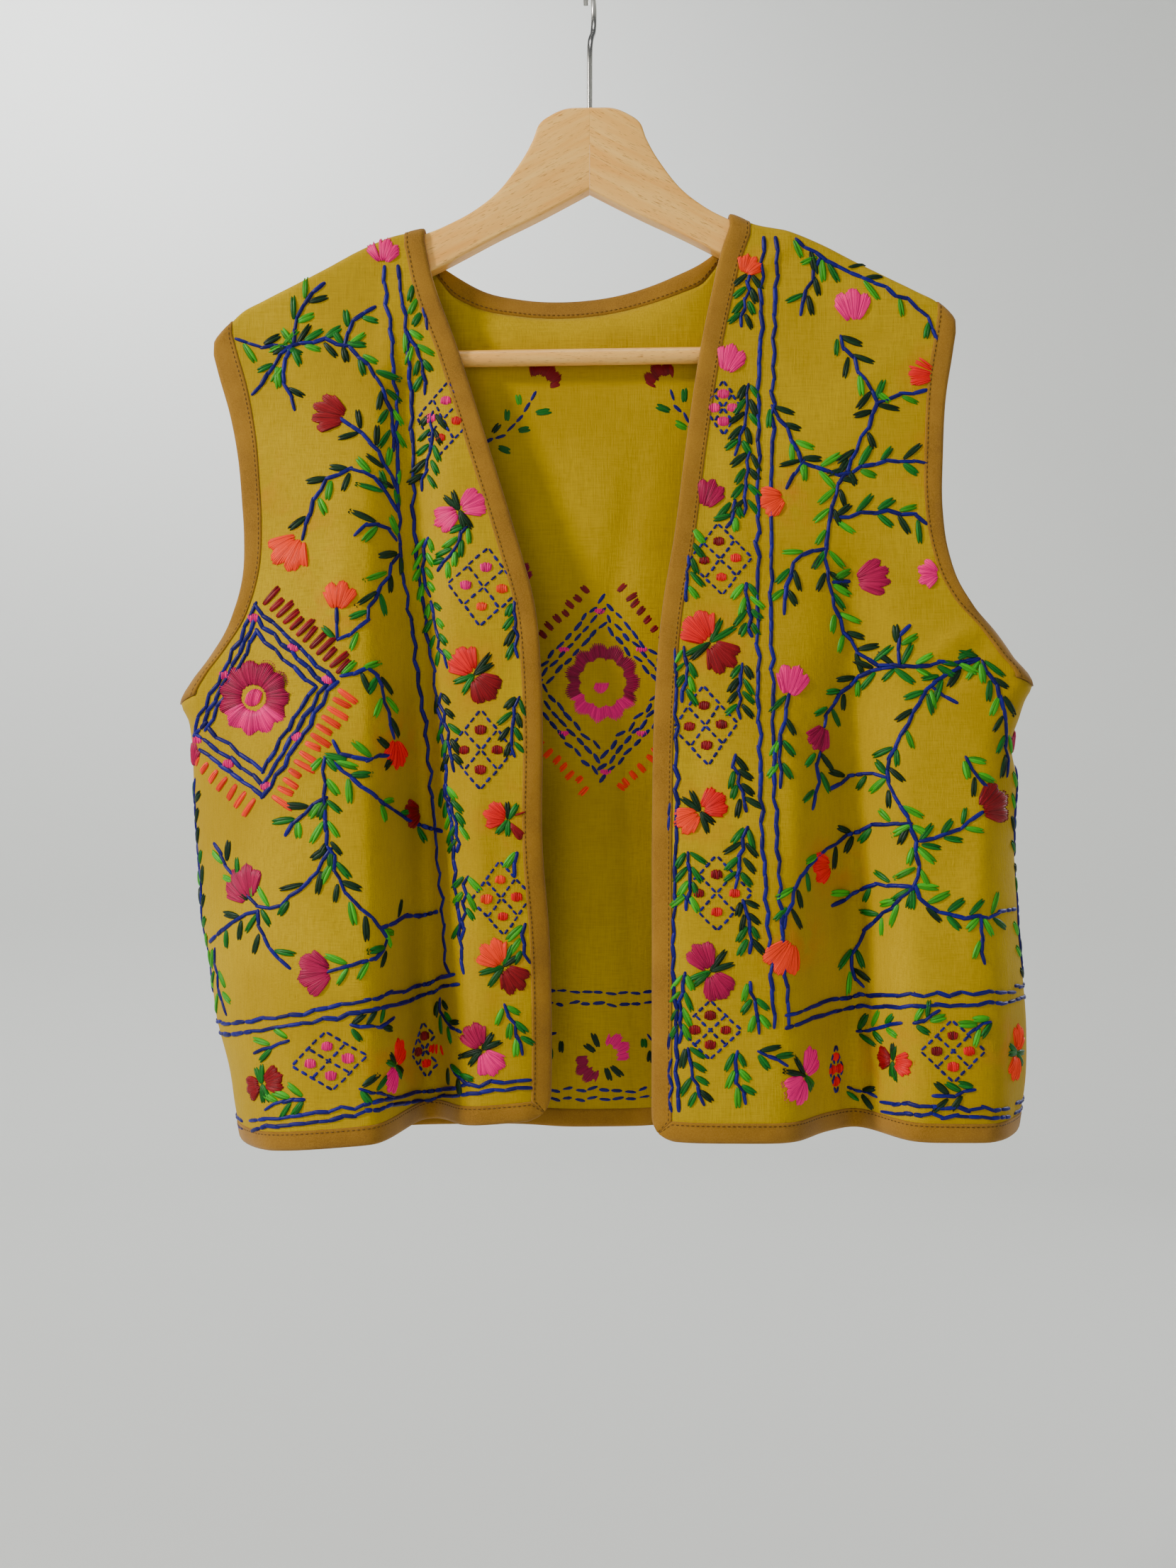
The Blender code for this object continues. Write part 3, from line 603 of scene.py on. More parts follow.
# The bindings are strips of brushed ochre cotton, folded over the raw edges and stitched down.
# Each is a rounded section drawn along its edge, plumper at the fold than at the stitched edge.
SECTION = [(0.0, -0.5), (0.5, 0.55), (2.4, 1.05), (5.5, 1.1), (8.6, 0.95), (10.3, 0.55),
           (11.2, 0.8), (12.0, 0.3), (12.0, -1.0), (10.0, -1.45), (6.0, -1.8), (2.4, -1.9),
           (0.5, -1.5)]
SECTION_WIDE = 12.0


def brushed_binding():
    """Twill-like cotton brushed on the face: soft, dull, with a short uneven nap."""
    made, tree, shader = new_material("brushed_ochre_cotton")
    place = object_place(tree)
    tone = ranged(tree, noise(tree, place, 45.0, 4.0), 0.3, 0.7)
    nap = noise(tree, place, 1500.0, 2.0)
    base = blend_colours(tree, tone, colour("#7E5609"), colour("#966910"))
    base = blend_colours(tree, ranged(tree, nap, 0.35, 1.1), base, colour("#AA7C22"))
    feed(tree, shader, {"Base Color": base, "Normal": bumped(tree, nap, 0.25, 0.0004),
                        "Roughness": 0.9, "Specular IOR Level": 0.15,
                        "Sheen Weight": 0.15, "Sheen Roughness": 0.6})
    return made


BRUSHED = brushed_binding()
seams = {}
bound = {"left": [], "right": [], "back": []}


def wrap(name, panel, lines):
    """Draws the binding's section along lines, for a panel. Each line gives the spot and normal at
    a share of the way across."""
    seams[name] = lines
    vertices = []
    for place in lines:
        for across, high in SECTION:
            spot, normal = place(across / SECTION_WIDE)
            vertices.append(spot + normal * high)
    sides, last = len(SECTION), (len(lines) - 1) * len(SECTION)
    ends = [tuple(range(sides)), tuple(last + k for k in reversed(range(sides)))]
    made = add_mesh(f"edge_binding_{name}", vertices, tube_walls(len(lines), sides) + ends)
    with edited(made.data) as shape:
        bmesh.ops.recalc_face_normals(shape, faces=shape.faces)
    dress(made, BRUSHED, f"binding_{name}")
    bound[panel].append(made)


def along_panel(panel, outer, inner):
    """A line across a binding: it runs on the panel from its outer edge to its inner edge."""
    def place(share):
        u, v = lerp(outer[0], inner[0], share), lerp(outer[1], inner[1], share)
        return panel.point(u, v), outward(panel, u, v)

    return place


# How many lines each stretch of binding is drawn with
MITRE_LINES, FRONT_LINES, HEM_LINES, BACK_LINES, NECK_LINES, ARM_LINES = 6, 130, 90, 170, 70, 10
MITRE_TIP = 0.1             # where a mitre's first line lies, as a share of its last
SEAM_CLEAR = 0.001          # share that a line keeps clear of a seam


def mitred(corner, end, count):
    return spread(MITRE_TIP * corner, corner, MITRE_LINES)[:-1] + spread(corner, end, count)


UP_FRONT = mitred(HEM_SHARE, 1.0, FRONT_LINES) + OVER_ARM
UP_ARMHOLE = [ARMPIT_SHARE + SEAM_CLEAR] + ABOVE + OVER_ARM
for name, panel in fronts.items():
    wrap(f"front_{name}", name, [
        along_panel(panel, (0.0, v), (panel.centre_share(v) * min(1.0, v / HEM_SHARE), v))
        for v in UP_FRONT])
    corner = panel.centre_share(HEM_SHARE)
    wrap(f"hem_{name}", name, [
        along_panel(panel, (u, 0.0), (u, HEM_SHARE * min(1.0, u / corner)))
        for u in mitred(corner, 1.0, HEM_LINES)])
    wrap(f"armhole_front_{name}", name, [
        along_panel(panel, (1.0, v), (panel.turn_share(v), v)) for v in UP_ARMHOLE])
    side = ("left", "right").index(name)
    wrap(f"armhole_back_{name}", "back", [
        along_panel(back, (side, v), (back.turn_shares(min(v, 1.0))[side], v)) for v in UP_ARMHOLE])
wrap("hem_back", "back", [
    along_panel(back, (u, 0.0), (u, HEM_SHARE)) for u in spread(0.0, 1.0, BACK_LINES)])


def neck_lines():
    """Lines across the back neck binding, up behind each arm and over it to the seams."""
    def on_arm(x, turn):
        kept, gained = rounded(turn)
        return np.array([x, SHOULDER_HALF * kept, -shoulder_down(x) - SHOULDER_HALF * (1 - gained)])

    def on_back(x, z):
        return np.array([x, back.depth(x, z), z])

    def over_arm(front, share):
        def place(across):
            x = front.sign * (front.neck_edge + FRONT_BINDING * across)
            return on_arm(x, share), -facing(on_arm, x, share, 0.1, 1e-3)

        return place

    def behind(share):
        free_x = lerp(*[front.sign * front.neck_edge for front in (back.left, back.right)], share)
        held_x = lerp(*back.corners, share)
        free, held = np.array([free_x, -neck_back(free_x)]), np.array([held_x, back.top(held_x)])

        def place(across):
            x, z = lerp(free, held, across)
            return on_back(x, z), -facing(on_back, x, z, 0.1, 0.1)

        return place

    turns = spread(3 * SEAM_CLEAR, 1.0, ARM_LINES)
    return ([over_arm(back.left, share) for share in reversed(turns)]
            + [behind(share) for share in spread(0.0, 1.0, NECK_LINES)[1:-1]]
            + [over_arm(back.right, share) for share in turns])


wrap("neck_back", "back", neck_lines())


# The embroidery is hand work in glossy six-strand floss, done before the edges were bound: navy
# stem-stitched vines and paired border lines, satin-stitched leaves and flowers, and lozenges of
# running stitch. Every stitch is a small arched strand that lies on the cloth it was sewn to.
THREADS = {
    "navy": "#0D007C", "pine": "#06300E", "green": "#0C7018", "lime": "#3FAE14",
    "pink": "#F4007C", "magenta": "#B0004A", "crimson": "#900010", "red": "#E00C10",
    "orange": "#FF3806",
}
GREENS = ("pine", "green", "lime")
GLOWING_THREADS = ("pink", "red", "orange")       # vivid dyes, given a little painted light as a glow
PAINTED_GLOW = 0.14                 # the strength of that painted glow, as emission
EYE = Vector((EYE_RIGHT, -EYE_BACK, -EYE_DOWN))
BEHIND = 500.0              # the back is looked for from this far behind
LAID_ABOVE = 0.05           # how far above the cloth a stitch's middle lies
MOTIF_NEAR = 12.0           # within a motif, the cloth is looked for from here
MOTIF_REACH = 30.0          # and this far down
SHORTEST = 0.3              # a stitch shorter than this is left out
SPLIT_SAG = 1.0             # a line's stitch is split where the cloth sags from it by this much
SPLIT_LONG = 1.5            # unless it is as short as this
FOLD_SAG = 1.6              # any other is left out there, or where a fold stretches it this much
FOLD_STRETCH = 2.2
STEM_STEP = 0.82            # each stem stitch starts this share of its length after the last
STEM_HIGH = 1.15
LEAF_WIDE, LEAF_HIGH = 2.9, 1.25
LEAF_SPLAY = 36             # degrees that a leaf turns off its stalk
VINE_EVERY = 13.0           # from one of a vine's leaves to the next
FAN_STITCHES = 34
PETAL_HIGH = 1.45
KNOT_HIGH = 1.1
DASH_WIDE, DASH_HIGH = 1.6, 0.8


def smooth_outline(rows, per_span=8):
    """A smooth curve through rows of points."""
    rows = np.array(rows, float)
    ends = np.vstack([2 * rows[0] - rows[1], rows, 2 * rows[-1] - rows[-2]])
    points = []
    for a, b, c, d in zip(ends, ends[1:], ends[2:], ends[3:]):
        for k in range(per_span):
            t = k / per_span
            points.append(0.5 * (2 * b + (c - a) * t + (2 * a - 5 * b + 4 * c - d) * t * t
                                 + (3 * b - a - 3 * c + d) * t ** 3))
    return points + [rows[-1]]


class Needlework:
    """The stitches of one panel. Places are across and down in millimetres, as they are seen
    against the hanger's plane: by the eye on a front, square on from behind on the back."""

    def __init__(self, name, seed):
        self.name = name
        self.cloth = shells[name][1]
        self.random = random.Random(seed)
        self.stitches = {thread: [] for thread in THREADS}
        self.laid = None

    def find(self, across, down):
        """The spot on the cloth that is seen there, and the cloth's normal. Within a motif it is
        measured along the cloth instead, from where the motif is laid."""
        if self.laid:
            x, drop, spot, right, lower, above = self.laid
            start = spot + right * (across - x) + lower * (down - drop) + above * MOTIF_NEAR
            spot, normal = self.cloth.ray_cast(start, -above, MOTIF_REACH)[:2]
            aim = -above
        else:
            seen = Vector((across, 0, -down))
            start, aim = EYE, seen - EYE
            if self.name == "back":
                start, aim = seen + Vector((0, BEHIND, 0)), Vector((0, -1, 0))
            spot, normal = self.cloth.ray_cast(start, aim.normalized())[:2]
        if spot is None:
            return None
        return spot, -normal if normal.dot(aim) > 0 else normal

    @contextmanager
    def motif(self, x, down):
        """Lays a motif on the cloth at a place, so that a fold neither stretches nor squeezes it."""
        found, before = self.find(x, down), self.laid
        if found:
            self.lay(x, down, *found)
        yield
        self.laid = before

    def lay(self, x, down, spot, normal):
        lower = (Vector((0, 0, -1)) + normal * normal.z).normalized()
        right = normal.cross(lower) * (-1 if self.name == "back" else 1)
        self.laid = x, down, spot, right, lower, normal

    def side_lines(self, panel, u_range, downs):
        """Carries the border lines round the side, past where they can be seen from the front."""
        for down in downs:
            side = panel.data["hem_side"]
            v = (side - down) / (side - panel.data["armpit"]) * ARMPIT_SHARE
            shares = spread(*u_range, 5)
            spots = [Vector(panel.point(u, v)) for u in shares]
            normals = [Vector(outward(panel, min(u, 0.999), v)) for u in shares]
            for a, b, normal in zip(spots, spots[1:], normals[1:]):
                run = b - a
                centre = (a + b) / 2 + normal * LAID_ABOVE + Vector((0, 0, self.jog(0.6)))
                self.stitches["navy"].append((centre, run.normalized(), normal,
                                              (run.length + 2.2, 2.3, 1.1), self.random.random()))

    def stitch(self, thread, start, end, wide, high, tone=None, follow=False):
        """One straight stitch. It is left out where an end misses the cloth, or where it would
        span a fold. A stitch of a line is split there instead, to follow the cloth."""
        middle = (start[0] + end[0]) / 2, (start[1] + end[1]) / 2
        first, halfway, second = self.find(*start), self.find(*middle), self.find(*end)
        if first is None or second is None or halfway is None:
            return
        run, chord = second[0] - first[0], (first[0] + second[0]) / 2
        sag = (halfway[0] - chord).length
        seen = math.hypot(end[0] - start[0], end[1] - start[1])
        if follow and sag > SPLIT_SAG and seen > SPLIT_LONG:
            self.stitch(thread, start, middle, wide, high, tone, True)
            self.stitch(thread, middle, end, wide, high, tone, True)
            return
        folded = not follow and (sag > FOLD_SAG or run.length > FOLD_STRETCH * seen)
        if folded or run.length < SHORTEST:
            return
        normal = (first[1] + second[1]).normalized()
        bulge = max(0.0, (halfway[0] - chord).dot(normal))
        centre = chord + normal * (LAID_ABOVE + bulge)
        tone = self.random.random() if tone is None else tone
        self.stitches[thread].append((centre, run.normalized(), normal, (run.length, wide, high), tone))

    def jog(self, size):
        return self.random.uniform(-size, size)

    def line(self, route, long=9.5, wide=2.5):
        """Stem stitch along a route: overlapping stitches that step from side to side."""
        spots = [(x + self.jog(0.8), down + self.jog(0.8)) for x, down in resample(route, long * STEM_STEP)]
        side = 1
        for (x0, d0), (x1, d1) in zip(spots, spots[1:]):
            dx, dd = unit(x1 - x0, d1 - d0)
            over, side = self.random.uniform(0.8, 2.2), -side
            lean = side * self.random.uniform(0.1, 1.3)
            self.stitch("navy", (x0 - dx * over - dd * lean, d0 - dd * over + dx * lean),
                        (x1 + dx * over + dd * lean, d1 + dd * over - dx * lean),
                        wide * self.random.uniform(0.8, 1.15), STEM_HIGH, follow=True)

    def leaf(self, x, down, angle, long, thread, plump=1.0):
        """Two plump stitches side by side, from the stalk to the tip. Angles: 0 right, 90 up."""
        dx, dd = math.cos(math.radians(angle)), -math.sin(math.radians(angle))
        with self.motif(x, down):
            for side in (-1, 1):
                near, far = side * 0.45 * plump, side * 0.95 * plump + self.jog(0.15)
                reach = long * self.random.uniform(0.92, 1.0)
                self.stitch(thread, (x - dd * near, down + dx * near),
                            (x + dx * reach - dd * far, down + dd * reach + dx * far),
                            LEAF_WIDE * plump * self.random.uniform(0.9, 1.1), LEAF_HIGH)

    def leaves(self, route, every, long, threads, pairs=0.6):
        """Leaves along a route, alternating, some of them in pairs."""
        side = self.random.choice((-1, 1))
        spots = resample(route, every)
        for (x0, d0), (x1, d1) in zip(spots, spots[1:]):
            heading = math.degrees(math.atan2(d0 - d1, x1 - x0))
            for turn in (side, -side)[:2 if self.random.random() < pairs else 1]:
                angle = heading + turn * (LEAF_SPLAY + self.jog(14))
                away = math.radians(heading + turn * 90)
                x, down = x0 + math.cos(away) * 1.3, d0 - math.sin(away) * 1.3
                self.leaf(x, down, angle, long * self.random.uniform(0.75, 1.1),
                          self.random.choice(threads), self.random.uniform(0.8, 1.1))
            side = -side

    def vine(self, points, long=14.5):
        route = smooth_outline(points)
        self.line(route)
        self.leaves(route, VINE_EVERY, long, GREENS)

    def fan(self, x, down, angle, reach, thread, half=50, lobes=3):
        """A satin-stitched blossom: stitches that spread from the calyx to a lobed edge."""
        shift, notch = self.jog(0.25), self.random.uniform(0.13, 0.24)
        aim = math.radians(angle)
        for i in range(FAN_STITCHES):
            share = (i + 0.5) / FAN_STITCHES * 2 - 1
            turn = math.radians(angle + share * half)
            lobe = 1 - notch + notch * abs(math.cos((share + shift) * math.pi * lobes / 2)) ** 0.7
            far = reach * lobe * (1 - 0.16 * share * share) + self.jog(0.6)
            near = reach * self.random.uniform(0.02, 0.16)
            wide = 1.75 * reach * math.radians(half) * 2 / FAN_STITCHES
            # The strands start on a short chord, so that the base isn't a needle's point
            foot = x - math.sin(aim) * share * reach * 0.16, down - math.cos(aim) * share * reach * 0.16
            self.stitch(thread, (foot[0] + math.cos(turn) * near, foot[1] - math.sin(turn) * near),
                        (x + math.cos(turn) * far, down - math.sin(turn) * far),
                        wide * self.random.uniform(0.9, 1.05), PETAL_HIGH + self.jog(0.08),
                        self.random.uniform(0.5, 1.0))

    def twins(self, x, down, angle, reach, threads):
        """Two blossoms back to back, tied at the calyx, with leaves between them."""
        for turn, thread in zip((0, 180), threads):
            along = math.radians(angle + turn)
            self.fan(x + math.cos(along) * 1.5, down - math.sin(along) * 1.5, angle + turn, reach,
                     thread, half=47 + self.jog(5))
        for turn in (82, 110, -78, -104):
            self.leaf(x, down, angle + turn + self.jog(8), reach * self.random.uniform(0.75, 1.0),
                      self.random.choice(GREENS[:2]), 0.9)

    def knot(self, x, down, thread, size):
        for i in range(5):
            drop = (i - 2) * size * 0.21
            half = size / 2 * math.sqrt(1 - ((i - 2) / 2.9) ** 2)
            slope = self.jog(0.4)
            self.stitch(thread, (x + drop + slope, down - half), (x + drop - slope, down + half),
                        size * 0.3, KNOT_HIGH)

    def dashes(self, start, end, long=3.9, gap=1.5):
        """Running stitch from one place to another, a gap shorter than a stitch between."""
        span = math.hypot(end[0] - start[0], end[1] - start[1])
        count = max(1, round((span + gap) / (long + gap)))
        for i in range(count):
            drift = self.jog(0.4)
            a, b = [(lerp(start[0], end[0], share) + drift, lerp(start[1], end[1], share))
                    for share in ((i + 0.14) / count, (i + 0.86) / count)]
            self.stitch("navy", a, b, DASH_WIDE * self.random.uniform(0.85, 1.15), DASH_HIGH)

    def lozenge(self, x, down, half_wide, half_tall, threads, lean):
        """Two by two diamonds of running stitch, a knot in each."""
        turn = math.radians(lean)

        def corner(a, b):
            across, drop = (a - b) / 2 * half_wide, (a + b) / 2 * half_tall
            return (x + across * math.cos(turn) + drop * math.sin(turn),
                    down - across * math.sin(turn) + drop * math.cos(turn))

        for k in (-1, 0, 1):
            self.dashes(corner(k, -1), corner(k, 1))
            self.dashes(corner(-1, k), corner(1, k))
        for i, (a, b) in enumerate(((-0.5, -0.5), (0.5, -0.5), (-0.5, 0.5), (0.5, 0.5))):
            self.knot(*corner(a, b), threads[i % len(threads)], 5.8 + self.jog(0.5))


def mirrored(spot):
    return 2 * BACK_MIDDLE - spot[0], spot[1]


def unit(x, y):
    length = math.hypot(x, y) or 1.0
    return x / length, y / length


def resample(route, step):
    """Spots at equal steps along a route."""
    route = [np.array(spot, float) for spot in route]
    lengths = np.cumsum([0.0] + [float(np.linalg.norm(b - a)) for a, b in zip(route, route[1:])])
    count = max(1, round(lengths[-1] / step))
    marks = np.linspace(0, lengths[-1], count + 1)
    xs = np.interp(marks, lengths, [spot[0] for spot in route])
    downs = np.interp(marks, lengths, [spot[1] for spot in route])
    return list(zip(xs, downs))


def beside(points, away):
    """The same route, moved to one side: to its right as it runs down."""
    moved = []
    for i, (x, down) in enumerate(points):
        (xa, da), (xb, db) = points[max(i - 1, 0)], points[min(i + 1, len(points) - 1)]
        dx, dd = unit(xb - xa, db - da)
        moved.append((x + dd * away, down - dx * away))
    return moved


# Paired border lines: where the first line runs, and how far beside it the second lies
BORDERS = {
    "left": [([(-127, 186), (-119, 262), (-116, 358), (-100, 474), (-87, 620)], 9.5),
             ([(-84, 619), (-121, 632), (-169, 642), (-224, 651)], 6.5),
             ([(-36, 689), (-73, 693), (-112, 699), (-160, 709), (-214, 715)], -5.0)],
    "right": [([(107, 160), (104, 262), (103, 358), (104, 455), (107, 551), (114, 652)], 8.5),
              ([(120, 646), (158, 634), (215, 632), (268, 630)], -7.0),
              ([(47, 405), (49, 503), (47, 599), (50, 704)], 4.6),
              ([(180, 699), (225, 702), (264, 703)], -5.0)],
}
BORDERS["back"] = [([(-226, 641), (-110, 634), (0, 632), (130, 635), (246, 641)], -7.0),
                   ([(-216, 706), (-100, 700), (0, 698), (130, 700), (252, 702)], 5.0)]
# Vines: their points, from the root to the tip
VINES = {
    "left": [
        [(-224, 227), (-203, 234), (-184, 234), (-160, 231), (-140, 241), (-124, 267), (-120, 298)],
        [(-150, 234), (-145, 219), (-131, 210)], [(-181, 233), (-179, 214), (-164, 196)],
        [(-184, 234), (-197, 251), (-211, 270)], [(-184, 234), (-188, 253), (-181, 273)],
        [(-119, 321), (-135, 292), (-153, 279)],
        [(-118, 334), (-135, 313), (-156, 313), (-169, 330), (-177, 352)],
        [(-118, 352), (-133, 343), (-144, 349)],
        [(-117, 362), (-131, 388), (-141, 407), (-155, 414)], [(-155, 414), (-155, 396)],
        [(-152, 437), (-133, 433), (-127, 447), (-121, 475)],
        [(-121, 484), (-136, 488), (-150, 486), (-158, 478)],
        [(-163, 487), (-162, 527), (-157, 551), (-150, 570), (-128, 592), (-128, 607), (-161, 618)],
        [(-157, 490), (-136, 508), (-112, 525), (-93, 532)],
        [(-160, 543), (-169, 560), (-195, 579), (-208, 574), (-221, 556), (-230, 539)],
        [(-162, 512), (-176, 521), (-187, 534)],
        [(-203, 580), (-200, 599), (-184, 616)], [(-204, 581), (-219, 588), (-232, 599)],
        [(-230, 604), (-228, 625), (-223, 644)], [(-127, 592), (-112, 584), (-95, 583)],
    ],
    "right": [
        [(126, 168), (141, 178), (156, 187), (182, 199), (206, 214), (213, 231)],
        [(141, 180), (135, 196), (129, 214)],
        [(153, 229), (167, 252), (176, 269), (165, 296), (153, 320), (146, 349), (148, 387),
         (165, 423), (191, 431), (239, 426)],
        [(176, 269), (190, 264), (207, 261)], [(112, 272), (124, 291), (131, 305), (153, 313)],
        [(131, 305), (121, 321)], [(153, 314), (177, 306), (206, 305)],
        [(151, 340), (177, 336), (201, 339), (211, 349)],
        [(145, 358), (129, 363), (122, 378), (119, 397)], [(149, 379), (160, 379)],
        [(187, 431), (167, 436), (148, 455), (144, 468)], [(190, 430), (190, 416), (195, 405)],
        [(239, 426), (211, 441), (191, 474), (182, 498), (196, 527), (201, 551), (199, 566),
         (172, 590), (160, 612), (168, 628)],
        [(241, 428), (254, 455), (257, 497)], [(203, 539), (224, 532), (241, 521)],
        [(210, 444), (226, 454)], [(182, 498), (163, 497), (147, 506)],
        [(199, 566), (211, 580), (240, 585), (260, 580)], [(240, 585), (242, 613)],
        [(197, 527), (172, 529), (146, 543), (129, 561), (119, 591)],
        [(140, 484), (140, 502), (136, 518)], [(122, 449), (117, 478), (118, 504)],
        [(231, 488), (239, 500), (245, 506)], [(197, 566), (172, 565), (150, 578)],
    ],
}
# On the back, half of the pattern is given, and the other half mirrors it
BACK_MIDDLE = 8.0
HALF_VINES = [
    [(-30, 630), (-58, 592), (-48, 548), (-80, 505), (-104, 458), (-92, 412), (-116, 362), (-150, 330),
     (-140, 287), (-166, 246)],
    [(-80, 505), (-122, 510), (-158, 490), (-186, 503)],
    [(-104, 458), (-140, 442), (-178, 450), (-196, 470)], [(-92, 412), (-64, 402), (-52, 384)],
    [(-116, 362), (-90, 334), (-76, 296), (-88, 262)], [(-150, 330), (-176, 322), (-186, 304)],
    [(-140, 287), (-116, 268), (-110, 236)], [(-58, 592), (-96, 598), (-130, 584)],
    [(-222, 634), (-206, 600), (-212, 562), (-192, 538)], [(-76, 296), (-50, 284), (-34, 262)],
    [(-166, 246), (-186, 236), (-204, 242)],
]
HALF_BLOSSOMS = [(-188, 506, 200, 18, "crimson"), (-198, 474, 260, 17, "orange"),
                 (-50, 380, 60, 17, "magenta"), (-89, 258, 100, 18, "red"), (-188, 300, 110, 16, "orange"),
                 (-110, 232, 80, 16, "pink"), (-134, 582, 160, 19, "magenta"), (-190, 534, 60, 17, "orange"),
                 (-32, 258, 60, 16, "crimson"), (-168, 242, 120, 15, "pink")]
HALF_SPRIGS = [(-18, 656, -34, 676), (-76, 652, -92, 672), (-84, 690, -68, 676), (-136, 652, -152, 672),
               (-146, 690, -132, 678), (-196, 654, -210, 672), (-206, 692, -192, 682), (-26, 690, -40, 682)]
# Short sprigs in the bands
SPRIGS = {
    "left": [(-107, 196, -100, 222), (-112, 225, -100, 262), (-96, 276, -103, 322), (-76, 345, -93, 372),
             (-100, 352, -99, 388), (-97, 392, -88, 430), (-92, 448, -84, 494), (-46, 392, -45, 424),
             (-44, 450, -46, 486), (-89, 505, -80, 545), (-44, 545, -46, 558), (-76, 560, -78, 598),
             (-40, 590, -38, 612), (-52, 640, -40, 668), (-92, 636, -80, 655), (-146, 652, -120, 646),
             (-185, 660, -206, 668), (-140, 690, -122, 694), (-176, 696, -198, 702), (-86, 676, -74, 688)],
    "right": [(98, 190, 92, 222), (97, 258, 90, 300), (98, 300, 96, 338), (88, 330, 84, 346),
              (62, 346, 58, 390), (96, 380, 98, 412), (58, 420, 56, 452), (94, 430, 92, 462),
              (88, 486, 96, 520), (60, 545, 58, 580), (96, 530, 90, 566), (94, 575, 98, 606),
              (58, 620, 56, 660), (98, 625, 104, 655), (60, 665, 70, 700), (90, 668, 96, 698),
              (104, 668, 122, 676), (165, 655, 190, 650), (158, 690, 176, 694), (200, 650, 214, 642),
              (236, 690, 212, 694), (246, 648, 232, 656)],
}
# Lozenges: across, down, half width, half height, lean
LOZENGES = {
    "left": [(-90, 279, 17, 23, -8, ("pink", "red")), (-65, 382, 22, 24, -6, ("pink", "orange")),
             (-67, 482, 20, 24, 0, ("crimson",)), (-54, 573, 18, 22, 4, ("orange", "red")),
             (-160, 673, 22, 17, 8, ("pink",)), (-101, 666, 12, 17, 4, ("crimson", "red"))],
    "right": [(82, 272, 11, 17, 0, ("pink",)), (80, 365, 19, 22, 4, ("crimson", "red")),
              (71, 467, 19, 24, 4, ("crimson",)), (78, 570, 21, 22, 0, ("crimson", "red")),
              (74, 654, 18, 17, 0, ("crimson",)), (151, 678, 7, 15, 0, ("red",)),
              (223, 667, 19, 18, 0, ("crimson", "red"))],
}
# Twin blossoms: across, down, angle, reach, threads
TWINS = {
    "left": [(-80, 335, 28, 16, ("pink", "pink")), (-71, 436, -50, 18, ("crimson", "red")),
             (-50, 525, -20, 14, ("crimson", "red")), (-53, 615, -52, 17, ("crimson", "orange")),
             (-66, 666, -58, 16, ("pink", "magenta")), (-119, 676, 52, 16, ("red", "pink")),
             (-201, 687, 200, 14, ("crimson", "crimson"))],
    "right": [(74, 416, -52, 20, ("crimson", "red")), (68, 520, 32, 16, ("red", "orange")),
              (74, 618, -62, 17, ("magenta", "magenta")), (132, 682, 48, 17, ("pink", "pink")),
              (186, 673, 175, 13, ("crimson", "red")), (262, 668, 70, 16, ("orange", "orange"))],
}
# Single blossoms: across, down, angle they open in, reach, thread
BLOSSOMS = {
    "left": [(-150, 278, 165, 21, "crimson"), (-211, 318, 10, 16, "orange"), (-178, 352, 235, 22, "orange"),
             (-155, 396, 85, 18, "orange"), (-119, 476, 270, 18, "red"), (-104, 520, 190, 15, "crimson"),
             (-209, 574, 120, 22, "magenta"), (-159, 618, 185, 20, "magenta"),
             (-127, 183, 85, 15, "pink"), (-92, 218, 20, 10, "pink")],
    "right": [(95, 190, 60, 13, "orange"), (83, 250, 70, 18, "pink"), (70, 333, 75, 18, "magenta"),
              (162, 219, 95, 20, "pink"), (212, 252, 170, 17, "red"), (212, 305, 180, 14, "orange"),
              (119, 327, 200, 16, "orange"), (164, 378, 10, 20, "magenta"), (214, 374, 180, 13, "pink"),
              (122, 449, 75, 20, "pink"), (144, 468, 240, 16, "magenta"), (240, 519, 25, 21, "crimson"),
              (148, 553, 190, 17, "red"), (124, 600, 240, 21, "orange")],
}


PETALS, PETAL_STITCHES, CORE_STITCHES = 11, 120, 9
PINK_PETALS = (205, 330)    # from one angle to the other, and the rest are magenta
RING_INSETS = (0.0, 0.13, 0.27)


